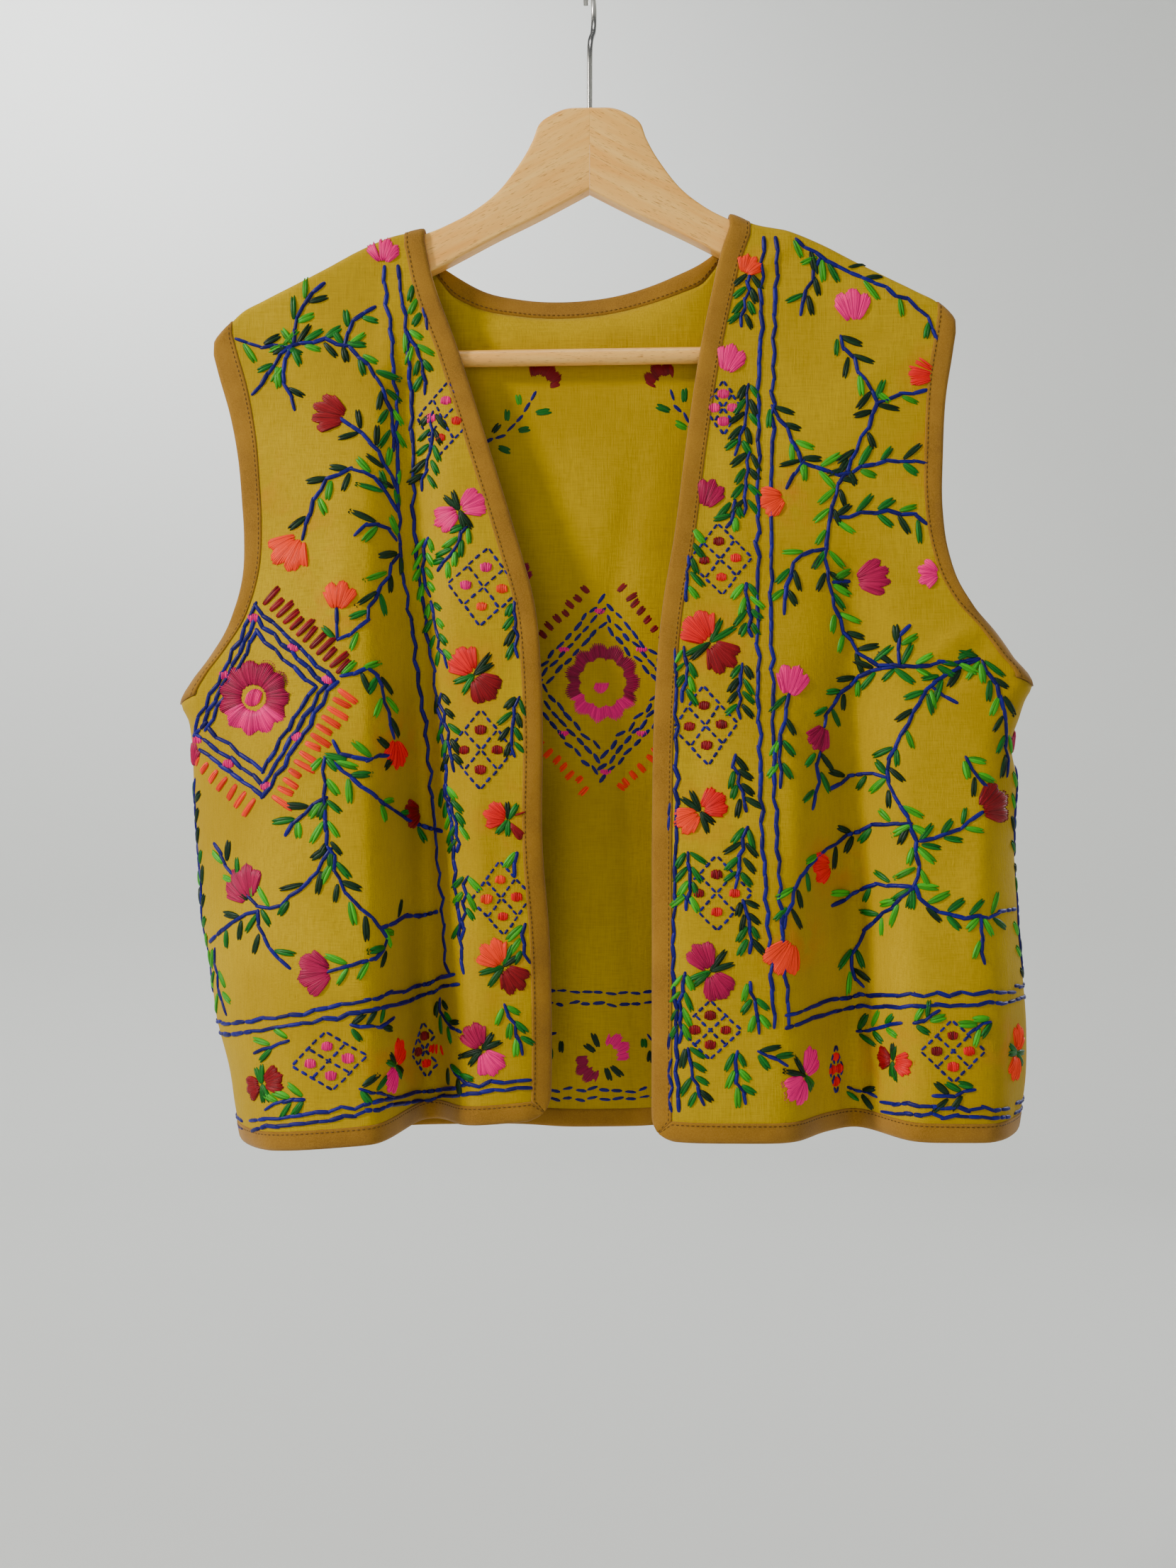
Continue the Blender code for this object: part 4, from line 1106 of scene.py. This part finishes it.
def medallion(work, x, down, corners, sides):
    """A large flower in three nested diamonds, with a fringe of short leaves outside. Each side's
    fringe is given by its corner, thread, count and length."""
    for i in range(PETAL_STITCHES):
        angle = i / PETAL_STITCHES * 360
        turn = math.radians(angle)
        lobe = 0.86 + 0.14 * abs(math.cos(turn * PETALS / 2))
        thread = "pink" if PINK_PETALS[0] < angle < PINK_PETALS[1] else "magenta"
        near, far = 8.0 + work.jog(0.5), 23.5 * lobe + work.jog(0.5)
        work.stitch(thread, (x + 0.95 * math.cos(turn) * near, down - math.sin(turn) * near),
                    (x + 0.95 * math.cos(turn) * far, down - math.sin(turn) * far), 1.55, 1.5)
    for i in range(CORE_STITCHES):
        across = (i - CORE_STITCHES // 2) * 0.95
        half = 5.6 * math.sqrt(1 - (across / 4.9) ** 2)
        work.stitch("pink", (x + across + 1.2, down - half), (x + across - 1.2, down + half), 1.4, 1.9)
    centre = (x + 2, down + 2)
    edges = list(zip(corners, corners[1:] + corners[:1]))
    for inset in RING_INSETS:
        for edge in edges:
            work.line([(lerp(cx, centre[0], inset), lerp(cd, centre[1], inset)) for cx, cd in edge],
                      wide=2.8)
    for (ax, ad), (bx, bd) in edges:
        for share in (0.5, 0.96):
            px, pd = lerp(ax, bx, share), lerp(ad, bd, share)
            work.knot(lerp(px, centre[0], 0.07), lerp(pd, centre[1], 0.07), "pink", 6.0)
    for k, thread, count, long in sides:
        (ax, ad), (bx, bd) = edges[k]
        nx, nd = unit(bd - ad, -(bx - ax))
        for i in range(count):
            share = (i + 0.5) / count
            px, pd = lerp(ax, bx, share) + nx * 4, lerp(ad, bd, share) + nd * 4
            reach = long * work.random.uniform(0.7, 1.0)
            px2, pd2 = px + nx * reach + work.jog(1.5), pd + nd * reach * 0.9 + work.jog(1.5)
            angle = math.degrees(math.atan2(pd - pd2, px2 - px))
            work.leaf(px, pd, angle, math.hypot(px2 - px, pd2 - pd), thread, 0.85)


def store(mesh, name, kind, values):
    """Keeps a number or a vector with every point of a mesh."""
    attribute = mesh.attributes.new(name, kind, "POINT")
    if kind == "FLOAT":
        attribute.data.foreach_set("value", values)
    else:
        attribute.data.foreach_set("vector", [c for value in values for c in value])


def floss(name, hexed):
    """Silky cotton floss: its strands show as fine lines along each stitch, with painted shade in the
    grooves between them, and the dye a little uneven from one stitch to the next."""
    made, tree, shader = new_material(f"{name}_floss")
    strand, tone = [node(tree, "ShaderNodeAttribute", attribute_name=key) for key in ("strand", "tone")]
    strands = noise(tree, stretched(tree, strand.outputs["Vector"], (0.35, 5.5, 1)), 1.0, 2.0)
    dye = colour(hexed)
    # The darkest of these colours is painted shade, for the grooves between the strands
    groove_shade, dark = [tuple(c * share for c in dye[:3]) + (1,) for share in (0.3, 0.5)]
    light = tuple(min(1.0, c * 1.1 + 0.004) for c in dye[:3]) + (1,)
    base = blend_colours(tree, tone.outputs["Fac"], dark, light)
    base = blend_colours(tree, ranged(tree, strands, 0.36, 0.5), groove_shade, base)
    feed(tree, shader, {"Base Color": base, "Normal": bumped(tree, strands, 0.6, 0.0004),
                        "Roughness": 0.45, "Specular IOR Level": 0.22})
    # Painted light: the pink, red and orange threads glow a little, as emission
    if name in GLOWING_THREADS:
        feed(tree, shader, {"Emission Color": dye, "Emission Strength": PAINTED_GLOW})
    return made


# Stations of a stitch: along, width, height
RAISED = [(-0.5, 0.35, -0.1), (-0.42, 0.78, 0.62), (-0.2, 1.0, 1.0), (0.2, 1.0, 1.0),
          (0.42, 0.78, 0.62), (0.5, 0.35, -0.1)]
POINTED = [(-0.5, 0.15, -0.1), (-0.36, 0.66, 0.7), (-0.12, 1.0, 1.0), (0.14, 0.96, 1.0),
           (0.38, 0.55, 0.7), (0.5, 0.12, -0.1)]
FLAT = [(-0.5, 0.4, -0.1), (-0.25, 1.0, 0.9), (0.25, 1.0, 0.9), (0.5, 0.4, -0.1)]


def unit_stitch(stations, sides):
    """A stitch one long, one wide and one high: arched in section, its ends dipping in."""
    spots, strands = [], []
    for along, wide, high in stations:
        for k in range(sides + 1):
            angle = math.pi * k / sides
            spots.append((along, -math.cos(angle) * 0.5 * wide, math.sin(angle) * high - 0.02))
            strands.append((along, k / sides - 0.5, 0))
    mesh = bpy.data.meshes.new("unit_stitch")
    mesh.from_pydata(spots, [], grid_faces(len(stations), sides + 1))
    mesh.shade_smooth()
    store(mesh, "place", "FLOAT_VECTOR", strands)
    return add_object("unit_stitch", mesh)


def stitch_tree():
    """Puts a stitch on every point: turned to its run and normal, sized, and given its tone."""
    tree = bpy.data.node_groups.new("stitches", "GeometryNodeTree")
    for name, flow, kind in (("Points", "INPUT", "Geometry"), ("Stitch", "INPUT", "Object"),
                             ("Floss", "INPUT", "Material"), ("Stitches", "OUTPUT", "Geometry")):
        tree.interface.new_socket(name, in_out=flow, socket_type=f"NodeSocket{kind}")

    def stored(name, kind="FLOAT_VECTOR"):
        return node(tree, "GeometryNodeInputNamedAttribute", {"Name": name}, data_type=kind).outputs[0]

    given = node(tree, "NodeGroupInput")
    run, normal, size, place = [stored(name) for name in ("run", "face", "size", "place")]
    tone = stored("tone", "FLOAT")
    along = node(tree, "FunctionNodeAlignRotationToVector", {"Vector": run}, axis="X")
    turned = node(tree, "FunctionNodeAlignRotationToVector",
                  {"Rotation": along.outputs[0], "Vector": normal}, axis="Z", pivot_axis="X")
    shape = node(tree, "GeometryNodeObjectInfo", {"Object": given.outputs["Stitch"]})
    points = node(tree, "GeometryNodeMeshToPoints", {"Mesh": given.outputs["Points"]})
    placed = node(tree, "GeometryNodeInstanceOnPoints",
                  {"Points": points.outputs[0], "Instance": shape.outputs["Geometry"],
                   "Rotation": turned.outputs[0], "Scale": size})
    joined = node(tree, "GeometryNodeRealizeInstances", {"Geometry": placed.outputs[0]})
    # Each stitch's strands are read from another part of the noise, as its tone says
    shift = node(tree, "ShaderNodeCombineXYZ", {"X": tone, "Z": tone})
    spaced = node(tree, "ShaderNodeVectorMath",
                  {0: shift.outputs[0], 1: (37.0, 0.0, 19.0)}, operation="MULTIPLY")
    strand = node(tree, "ShaderNodeVectorMath", {0: place, 1: spaced.outputs[0]})
    kept = node(tree, "GeometryNodeStoreNamedAttribute",
                {"Geometry": joined.outputs[0], "Name": "strand", "Value": strand.outputs[0]},
                data_type="FLOAT_VECTOR", domain="POINT")
    dressed = node(tree, "GeometryNodeSetMaterial",
                   {"Geometry": kept.outputs[0], "Material": given.outputs["Floss"]})
    node(tree, "NodeGroupOutput", {"Stitches": dressed.outputs[0]})
    return tree


def sew(name, stitches, shape, material):
    """Makes one object of all stitches of a thread on one panel."""
    source = add_mesh("points", [centre for centre, *_ in stitches], [])
    _, runs, faces, sizes, tones = zip(*stitches)
    store(source.data, "run", "FLOAT_VECTOR", runs)
    store(source.data, "face", "FLOAT_VECTOR", faces)
    store(source.data, "size", "FLOAT_VECTOR", [tuple(c * MM for c in size) for size in sizes])
    store(source.data, "tone", "FLOAT", tones)
    modifier = source.modifiers.new("stitches", "NODES")
    modifier.node_group = STITCHES
    sockets = {item.name: item.identifier for item in STITCHES.interface.items_tree}
    modifier[sockets["Stitch"]] = shape
    modifier[sockets["Floss"]] = material
    ready = source.evaluated_get(bpy.context.evaluated_depsgraph_get())
    mesh = bpy.data.meshes.new_from_object(ready)
    mesh.name = name
    bpy.data.objects.remove(source)
    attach(add_object(name, mesh), "root")


VINES["back"] = HALF_VINES + [[mirrored(spot) for spot in route] for route in HALF_VINES]
SPRIGS["back"] = HALF_SPRIGS + [(*mirrored(row[:2]), *mirrored(row[2:])) for row in HALF_SPRIGS]
BLOSSOMS["back"] = HALF_BLOSSOMS + [(*mirrored(row[:2]), 180 - row[2], *row[3:]) for row in HALF_BLOSSOMS]
LOZENGES["back"] = [(x, 671, 21, 19, 0, threads) for x, threads in (
    (-172, ("crimson", "pink")), (-52, ("pink",)), (68, ("crimson",)), (190, ("red", "pink")))]
TWINS["back"] = [(x, 673, 35, 16, threads) for x, threads in (
    (-112, ("orange", "crimson")), (8, ("pink", "magenta")), (130, ("red", "crimson")),
    (238, ("pink", "pink")))]

works = {}
for name, seed in (("left", 5), ("right", 11), ("back", 23)):
    work = works[name] = Needlework(name, seed)
    for points, away in BORDERS[name]:
        work.line(smooth_outline(points))
        work.line(smooth_outline(beside(points, away)))
    for points in VINES[name]:
        work.vine(points)
    for x0, d0, x1, d1 in SPRIGS[name]:
        middle = ((x0 + x1) / 2 + work.jog(3), (d0 + d1) / 2 + work.jog(3))
        route = smooth_outline([(x0, d0), middle, (x1, d1)], 5)
        work.line(route, long=7.0, wide=2.2)
        work.leaves(route, 9.0, 12.5, GREENS[:2] if work.random.random() < 0.6 else GREENS[1:], 0.9)
    for x, down, wide, tall, lean, threads in LOZENGES[name]:
        with work.motif(x, down):
            work.lozenge(x, down, wide, tall, threads, lean)
    for row in TWINS[name]:
        with work.motif(*row[:2]):
            work.twins(*row)
    for x, down, angle, reach, thread in BLOSSOMS[name]:
        with work.motif(x, down):
            work.fan(x, down, angle, reach, thread, half=50 + work.jog(9), lobes=work.random.choice((3, 4)))
# Down each side, where neither face is seen, runs one more vine, and the border lines go on
SIDE_LINES = {"left": (648, 655, 705, 710), "right": (626, 633, 695, 700)}
SIDE_VINE = [(2, 40), (-4, 10), (5, -22), (-3, -55), (2, -88)]
LINES_IN, VINE_IN = 12, 5                # how far in from the side seam they start
LINES_AT, VINE_AT = 0.25, 0.27           # shares of the height where that is measured
for name, front in fronts.items():
    work = works[name]
    u = 1 - LINES_IN / front.width(LINES_AT)
    work.side_lines(front, (u - 0.02, 1.0), SIDE_LINES[name])
    u = 1 - VINE_IN / front.width(LINES_AT)
    work.lay(0, 0, Vector(front.point(u, VINE_AT)), Vector(outward(front, u, VINE_AT)))
    work.vine(SIDE_VINE, long=12.0)
    work.fan(3, -96, 90, 15, "magenta")
    work.laid = None
medallion(works["left"], -206, 450, [(-205, 394), (-156, 440), (-200, 511), (-246, 476)],
          [(0, "crimson", 12, 17), (1, "orange", 13, 15), (2, "orange", 8, 14)])
medallion(works["back"], BACK_MIDDLE, 440, [(BACK_MIDDLE, 388), (BACK_MIDDLE + 52, 444),
                                            (BACK_MIDDLE, 500), (BACK_MIDDLE - 52, 444)],
          [(side, thread, 12, 14) for side, thread in
           enumerate(("crimson", "orange", "orange", "crimson"))])

# Dye from the warm threads has bled a little into the cloth near the blossoms
BLEED = 17.0
for name in works:
    warm = [row[:2] for row in TWINS[name] + BLOSSOMS[name] if {"red", "orange"} & set(np.ravel(row[-1]))]
    mesh = shells[name][0].data
    stains = []
    for vertex in mesh.vertices:
        spot = vertex.co / MM
        seen = spot if name == "back" else EYE + (spot - EYE) * EYE_BACK / (EYE_BACK + spot.y)
        near = min(math.hypot(seen.x - x, -seen.z - down) for x, down in warm)
        stains.append(math.exp(-(near / BLEED) ** 2))
    store(mesh, "stain", "FLOAT", stains)

STITCHES = stitch_tree()
raised, pointed, flat = unit_stitch(RAISED, 4), unit_stitch(POINTED, 4), unit_stitch(FLAT, 2)
flosses = {thread: floss(thread, hexed) for thread, hexed in THREADS.items()}
for name, work in works.items():
    for thread, stitches in work.stitches.items():
        sew(f"stitches_{name}_{thread}", stitches, pointed if thread in GREENS else raised,
            flosses[thread])
        # The thread shows on the inside as shorter, flatter stitches between the outer ones
        inside = [(centre + run * size[0] * 0.3 - normal * (CLOTH_THICK + 0.15), run, -normal,
                   (size[0] * 0.62, size[1] * 0.8, 0.5), tone * 0.6)
                  for centre, run, normal, size, tone in stitches]
        sew(f"reverse_{name}_{thread}", inside, flat, flosses[thread])


# Each binding is sewn down with one line of ochre sewing thread, 3 mm a stitch, near its edge.
SEAM_SHARE = 0.845
SEAM_STEP = 3.0


def seam_stitches(lines, face=1, rise=0.62):
    places = [place(SEAM_SHARE) for place in lines]
    spots = np.array([spot + normal * (face * rise) for spot, normal in places])
    normals = np.array([normal * face for spot, normal in places])
    lengths = np.concatenate([[0], np.cumsum(np.linalg.norm(np.diff(spots, axis=0), axis=1))])
    marks = np.arange(SEAM_STEP / 2, lengths[-1] - SEAM_STEP / 2, SEAM_STEP)
    picked = [np.array([np.interp(marks + shift, lengths, values[:, k]) for k in range(3)]).T
              for values in (spots, normals) for shift in (-1.0, 1.0)]
    stitches = []
    for start, end, first, second in zip(*picked):
        run = Vector(end - start)
        stitches.append((Vector((start + end) / 2), run.normalized(), Vector(first + second).normalized(),
                         (run.length, 0.75, 0.45), 0.6))
    return stitches


ochre = floss("ochre", "#7A540C")
for name, lines in seams.items():
    sew(f"topstitch_{name}", seam_stitches(lines), flat, ochre)
sew("topstitch_neck_inside", seam_stitches(seams["neck_back"], face=-1, rise=1.6), flat, ochre)
for shape in (raised, pointed, flat):
    bpy.data.objects.remove(shape)


# The hanger is a flat one of steamed beech: two halves sawn to shape, their long edges rounded
# over and joined in a mitre under the hook, and a turned bar dowelled into both.
ARM_THICK = 12.0
ARM_EDGE = 1.8
JOINT_GAP = 0.03
SHARP = math.radians(35)
GRAIN_LEAN = math.radians(27)
ARM_END = [(207, 215), (210, 225), (210, 237), (206, 247), (199, 251.5), (192, 249)]
ARM_UNDER = [(184, 240), (160, 222), (120, 200), (87, 184), (56, 168), (30, 155.5), (0, 140)]
BAR_RADIUS, BAR_DROP, BAR_REACH = 5.0, 241.0, 192.0
BAR_RINGS, BAR_SIDES = 12, 28


def beech(name, lean):
    """Steamed beech, sanded and thinly lacquered: pale, with fine short ray flecks along the
    grain. lean is the grain's slope in that half."""
    made, tree, shader = new_material(name)
    turned = node(tree, "ShaderNodeMapping", {"Vector": object_place(tree), "Rotation": (0, lean, 0)})
    rings = noise(tree, stretched(tree, turned.outputs[0], (5, 60, 60)), 3.0, 5.0, 0.6)
    fleck = noise(tree, stretched(tree, turned.outputs[0], (130, 1300, 1300)), 1.6, 2.0)
    base = blend_colours(tree, ranged(tree, rings, 0.3, 0.7), colour("#F4AC49"), colour("#FFCA6C"))
    base = blend_colours(tree, ranged(tree, fleck, 0.6, 0.74), base, colour("#B9762F"))
    feed(tree, shader, {"Base Color": base, "Normal": bumped(tree, fleck, 0.2, 0.0002),
                        "Roughness": 0.42, "Coat Weight": 0.15, "Coat Roughness": 0.3})
    return made


for name, sign in (("left", -1), ("right", 1)):
    mesh = bpy.data.meshes.new(f"arm_{name}")
    with edited(mesh) as shape:
        outline = []
        for out, down in smooth_outline(ARM_TOP + ARM_END + ARM_UNDER, 6):
            out = max(out, JOINT_GAP)
            spot = (sign * out * MM, -ARM_THICK / 2 * MM, -(down - sign * TILT * out) * MM)
            outline.append(shape.verts.new(spot))
        face = shape.faces.new(outline)
        moved = bmesh.ops.extrude_face_region(shape, geom=[face])["geom"]
        bmesh.ops.translate(shape, vec=(0, ARM_THICK * MM, 0),
                            verts=[part for part in moved if isinstance(part, bmesh.types.BMVert)])
        bmesh.ops.recalc_face_normals(shape, faces=shape.faces)
        rims = [edge for edge in shape.edges
                if abs(edge.verts[0].co.y - edge.verts[1].co.y) < 1e-7
                and max(abs(vert.co.x) for vert in edge.verts) > (JOINT_GAP + 0.01) * MM]
        bmesh.ops.bevel(shape, geom=rims, offset=ARM_EDGE * MM, segments=4, profile=0.5,
                        affect="EDGES", clamp_overlap=True)
    mesh.shade_smooth()
    mesh.set_sharp_from_angle(angle=SHARP)
    grain = beech(f"lacquered_beech_{name}", -sign * GRAIN_LEAN)
    dress(add_object(f"arm_{name}", mesh), grain, f"hanger_arm_{name}")

bar_points = []
for reach in spread(-BAR_REACH, BAR_REACH, BAR_RINGS):
    for k in range(BAR_SIDES):
        angle = 2 * math.pi * k / BAR_SIDES
        bar_points.append((reach, BAR_RADIUS * math.cos(angle),
                           -BAR_DROP + TILT * reach + BAR_RADIUS * math.sin(angle)))
ends = [tuple(reversed(range(BAR_SIDES))), tuple(BAR_RINGS * BAR_SIDES + k for k in range(BAR_SIDES))]
bar = add_mesh("trouser_bar", bar_points, tube_walls(BAR_RINGS + 1, BAR_SIDES) + ends)
bar.data.set_sharp_from_angle(angle=SHARP)
dress(bar, beech("lacquered_beech_bar", 0.0), "hanger_bar")


# The hook is 3.5 mm steel wire, nickel plated, bent to a crook and pushed into the joint. It is
# turned a quarter round, so that it is seen edge on.
WIRE_RADIUS, HOOK_RADIUS, SHANK_DROP = 1.75, 20.0, 110.0
SHANK_BEND = 62.0           # where the shank leaves the straight, below the crown
SHANK_EASE = 12.0           # how gently it does so
HOOK_START, HOOK_END = math.radians(-55), math.radians(220)
HOOK_TURN = math.radians(7)


def nickel_wire():
    """Drawn steel wire, bright nickel plated, with fine draw marks."""
    made, tree, shader = new_material("nickel_plated_wire")
    rough = ranged(tree, noise(tree, object_place(tree), 400.0, 3.0), 0.0, 1.0, 0.16, 0.34)
    feed(tree, shader, {"Roughness": rough, "Base Color": colour("#B9B7B3"), "Metallic": 1.0})
    return made


def on_crook(angle):
    middle = HOOK_RADIUS + WIRE_RADIUS
    return np.array([middle * math.cos(angle), -HOOK_RADIUS + middle * math.sin(angle)])


joins = on_crook(HOOK_START)
heading = np.array([-math.sin(HOOK_START), math.cos(HOOK_START)])
foot = np.array([0.0, -SHANK_BEND])
handles = [foot, foot + (0, SHANK_EASE), joins - SHANK_EASE * heading, joins]
route = [np.array([0.0, -SHANK_DROP])]
for t in spread(0.0, 1.0, 16):
    weights = [(1 - t) ** 3, 3 * t * (1 - t) ** 2, 3 * t * t * (1 - t), t ** 3]
    route.append(sum(weight * handle for weight, handle in zip(weights, handles)))
route += [on_crook(angle) for angle in spread(HOOK_START, HOOK_END, 60)[1:]]
wire = bpy.data.curves.new("hook", "CURVE")
wire.dimensions = "3D"
wire.bevel_depth = WIRE_RADIUS * MM
wire.bevel_resolution = 5
wire.use_fill_caps = True
spline = wire.splines.new("POLY")
spline.points.add(len(route) - 1)
for spot, (behind, up) in zip(spline.points, route):
    spot.co = (math.sin(HOOK_TURN) * behind * MM, math.cos(HOOK_TURN) * behind * MM, up * MM, 1)
dress(add_object("hook", wire), nickel_wire(), "hanger_hook")


# A round stage of pale painted board: a plain floor that sweeps up into a wall on every side,
# and soft studio light from the upper left.
FLOOR_DOWN, STAGE_RADIUS, SWEEP_RADIUS, WALL_TOP = 1.3, 2.8, 0.5, 1.9
FLOOR_MIDDLE = 0.0005       # the floor's innermost ring, almost a point
STAGE_SIDES, SWEEP_RINGS = 96, 12


def painted_board():
    """Smooth board under matt emulsion paint."""
    made, tree, shader = new_material("pale_wall_paint")
    feed(tree, shader, {"Base Color": colour("#DADCDA"), "Roughness": 0.9})
    return made


profile = [(FLOOR_MIDDLE, -FLOOR_DOWN), (STAGE_RADIUS - SWEEP_RADIUS, -FLOOR_DOWN)]
for a in spread(0, math.pi / 2, SWEEP_RINGS)[1:]:
    profile.append((STAGE_RADIUS - SWEEP_RADIUS * (1 - math.sin(a)),
                    -FLOOR_DOWN + SWEEP_RADIUS * (1 - math.cos(a))))
profile.append((STAGE_RADIUS, WALL_TOP))
spots = [(r * math.cos(a) / MM, r * math.sin(a) / MM, z / MM)
         for r, z in profile for a in spread(0, 2 * math.pi, STAGE_SIDES)]
stage = add_mesh("stage", spots, grid_faces(len(profile), STAGE_SIDES + 1))
stage.data.materials.append(painted_board())

world = bpy.data.worlds.new("studio")
world.use_nodes = True
feed(world.node_tree, world.node_tree.nodes["Background"], {"Color": colour("#DDE3E8"), "Strength": 0.2})
scene.world = world

LIGHTS = [("key", (-1.8, -1.0, 0.6), (0, 0, -0.4), 0.35, 52.0, "#FFF9F0"),
          ("fill", (-0.8, -1.9, -0.2), (0, 0, -0.45), 0.8, 4.0, "#F4F7FF"),
          ("top", (0.0, -0.3, 1.4), (0, 0.05, -0.4), 0.7, 7.0, "#FFFFFF"),
          ("behind", (1.9, 1.3, 0.5), (0, 0, -0.4), 0.5, 24.0, "#FFFFFF"),
          ("wall", (-0.9, 1.2, 1.5), (-1.0, 2.8, 0.8), 0.6, 58.0, "#FFFFFF")]
for name, place, aim, size, power, hexed in LIGHTS:
    light = bpy.data.lights.new(name, "AREA")
    light.size = size
    light.energy = power
    light.color = colour(hexed)[:3]
    lamp = add_object(name, light)
    lamp.location = place
    lamp.rotation_euler = (Vector(aim) - Vector(place)).to_track_quat("-Z", "Y").to_euler()
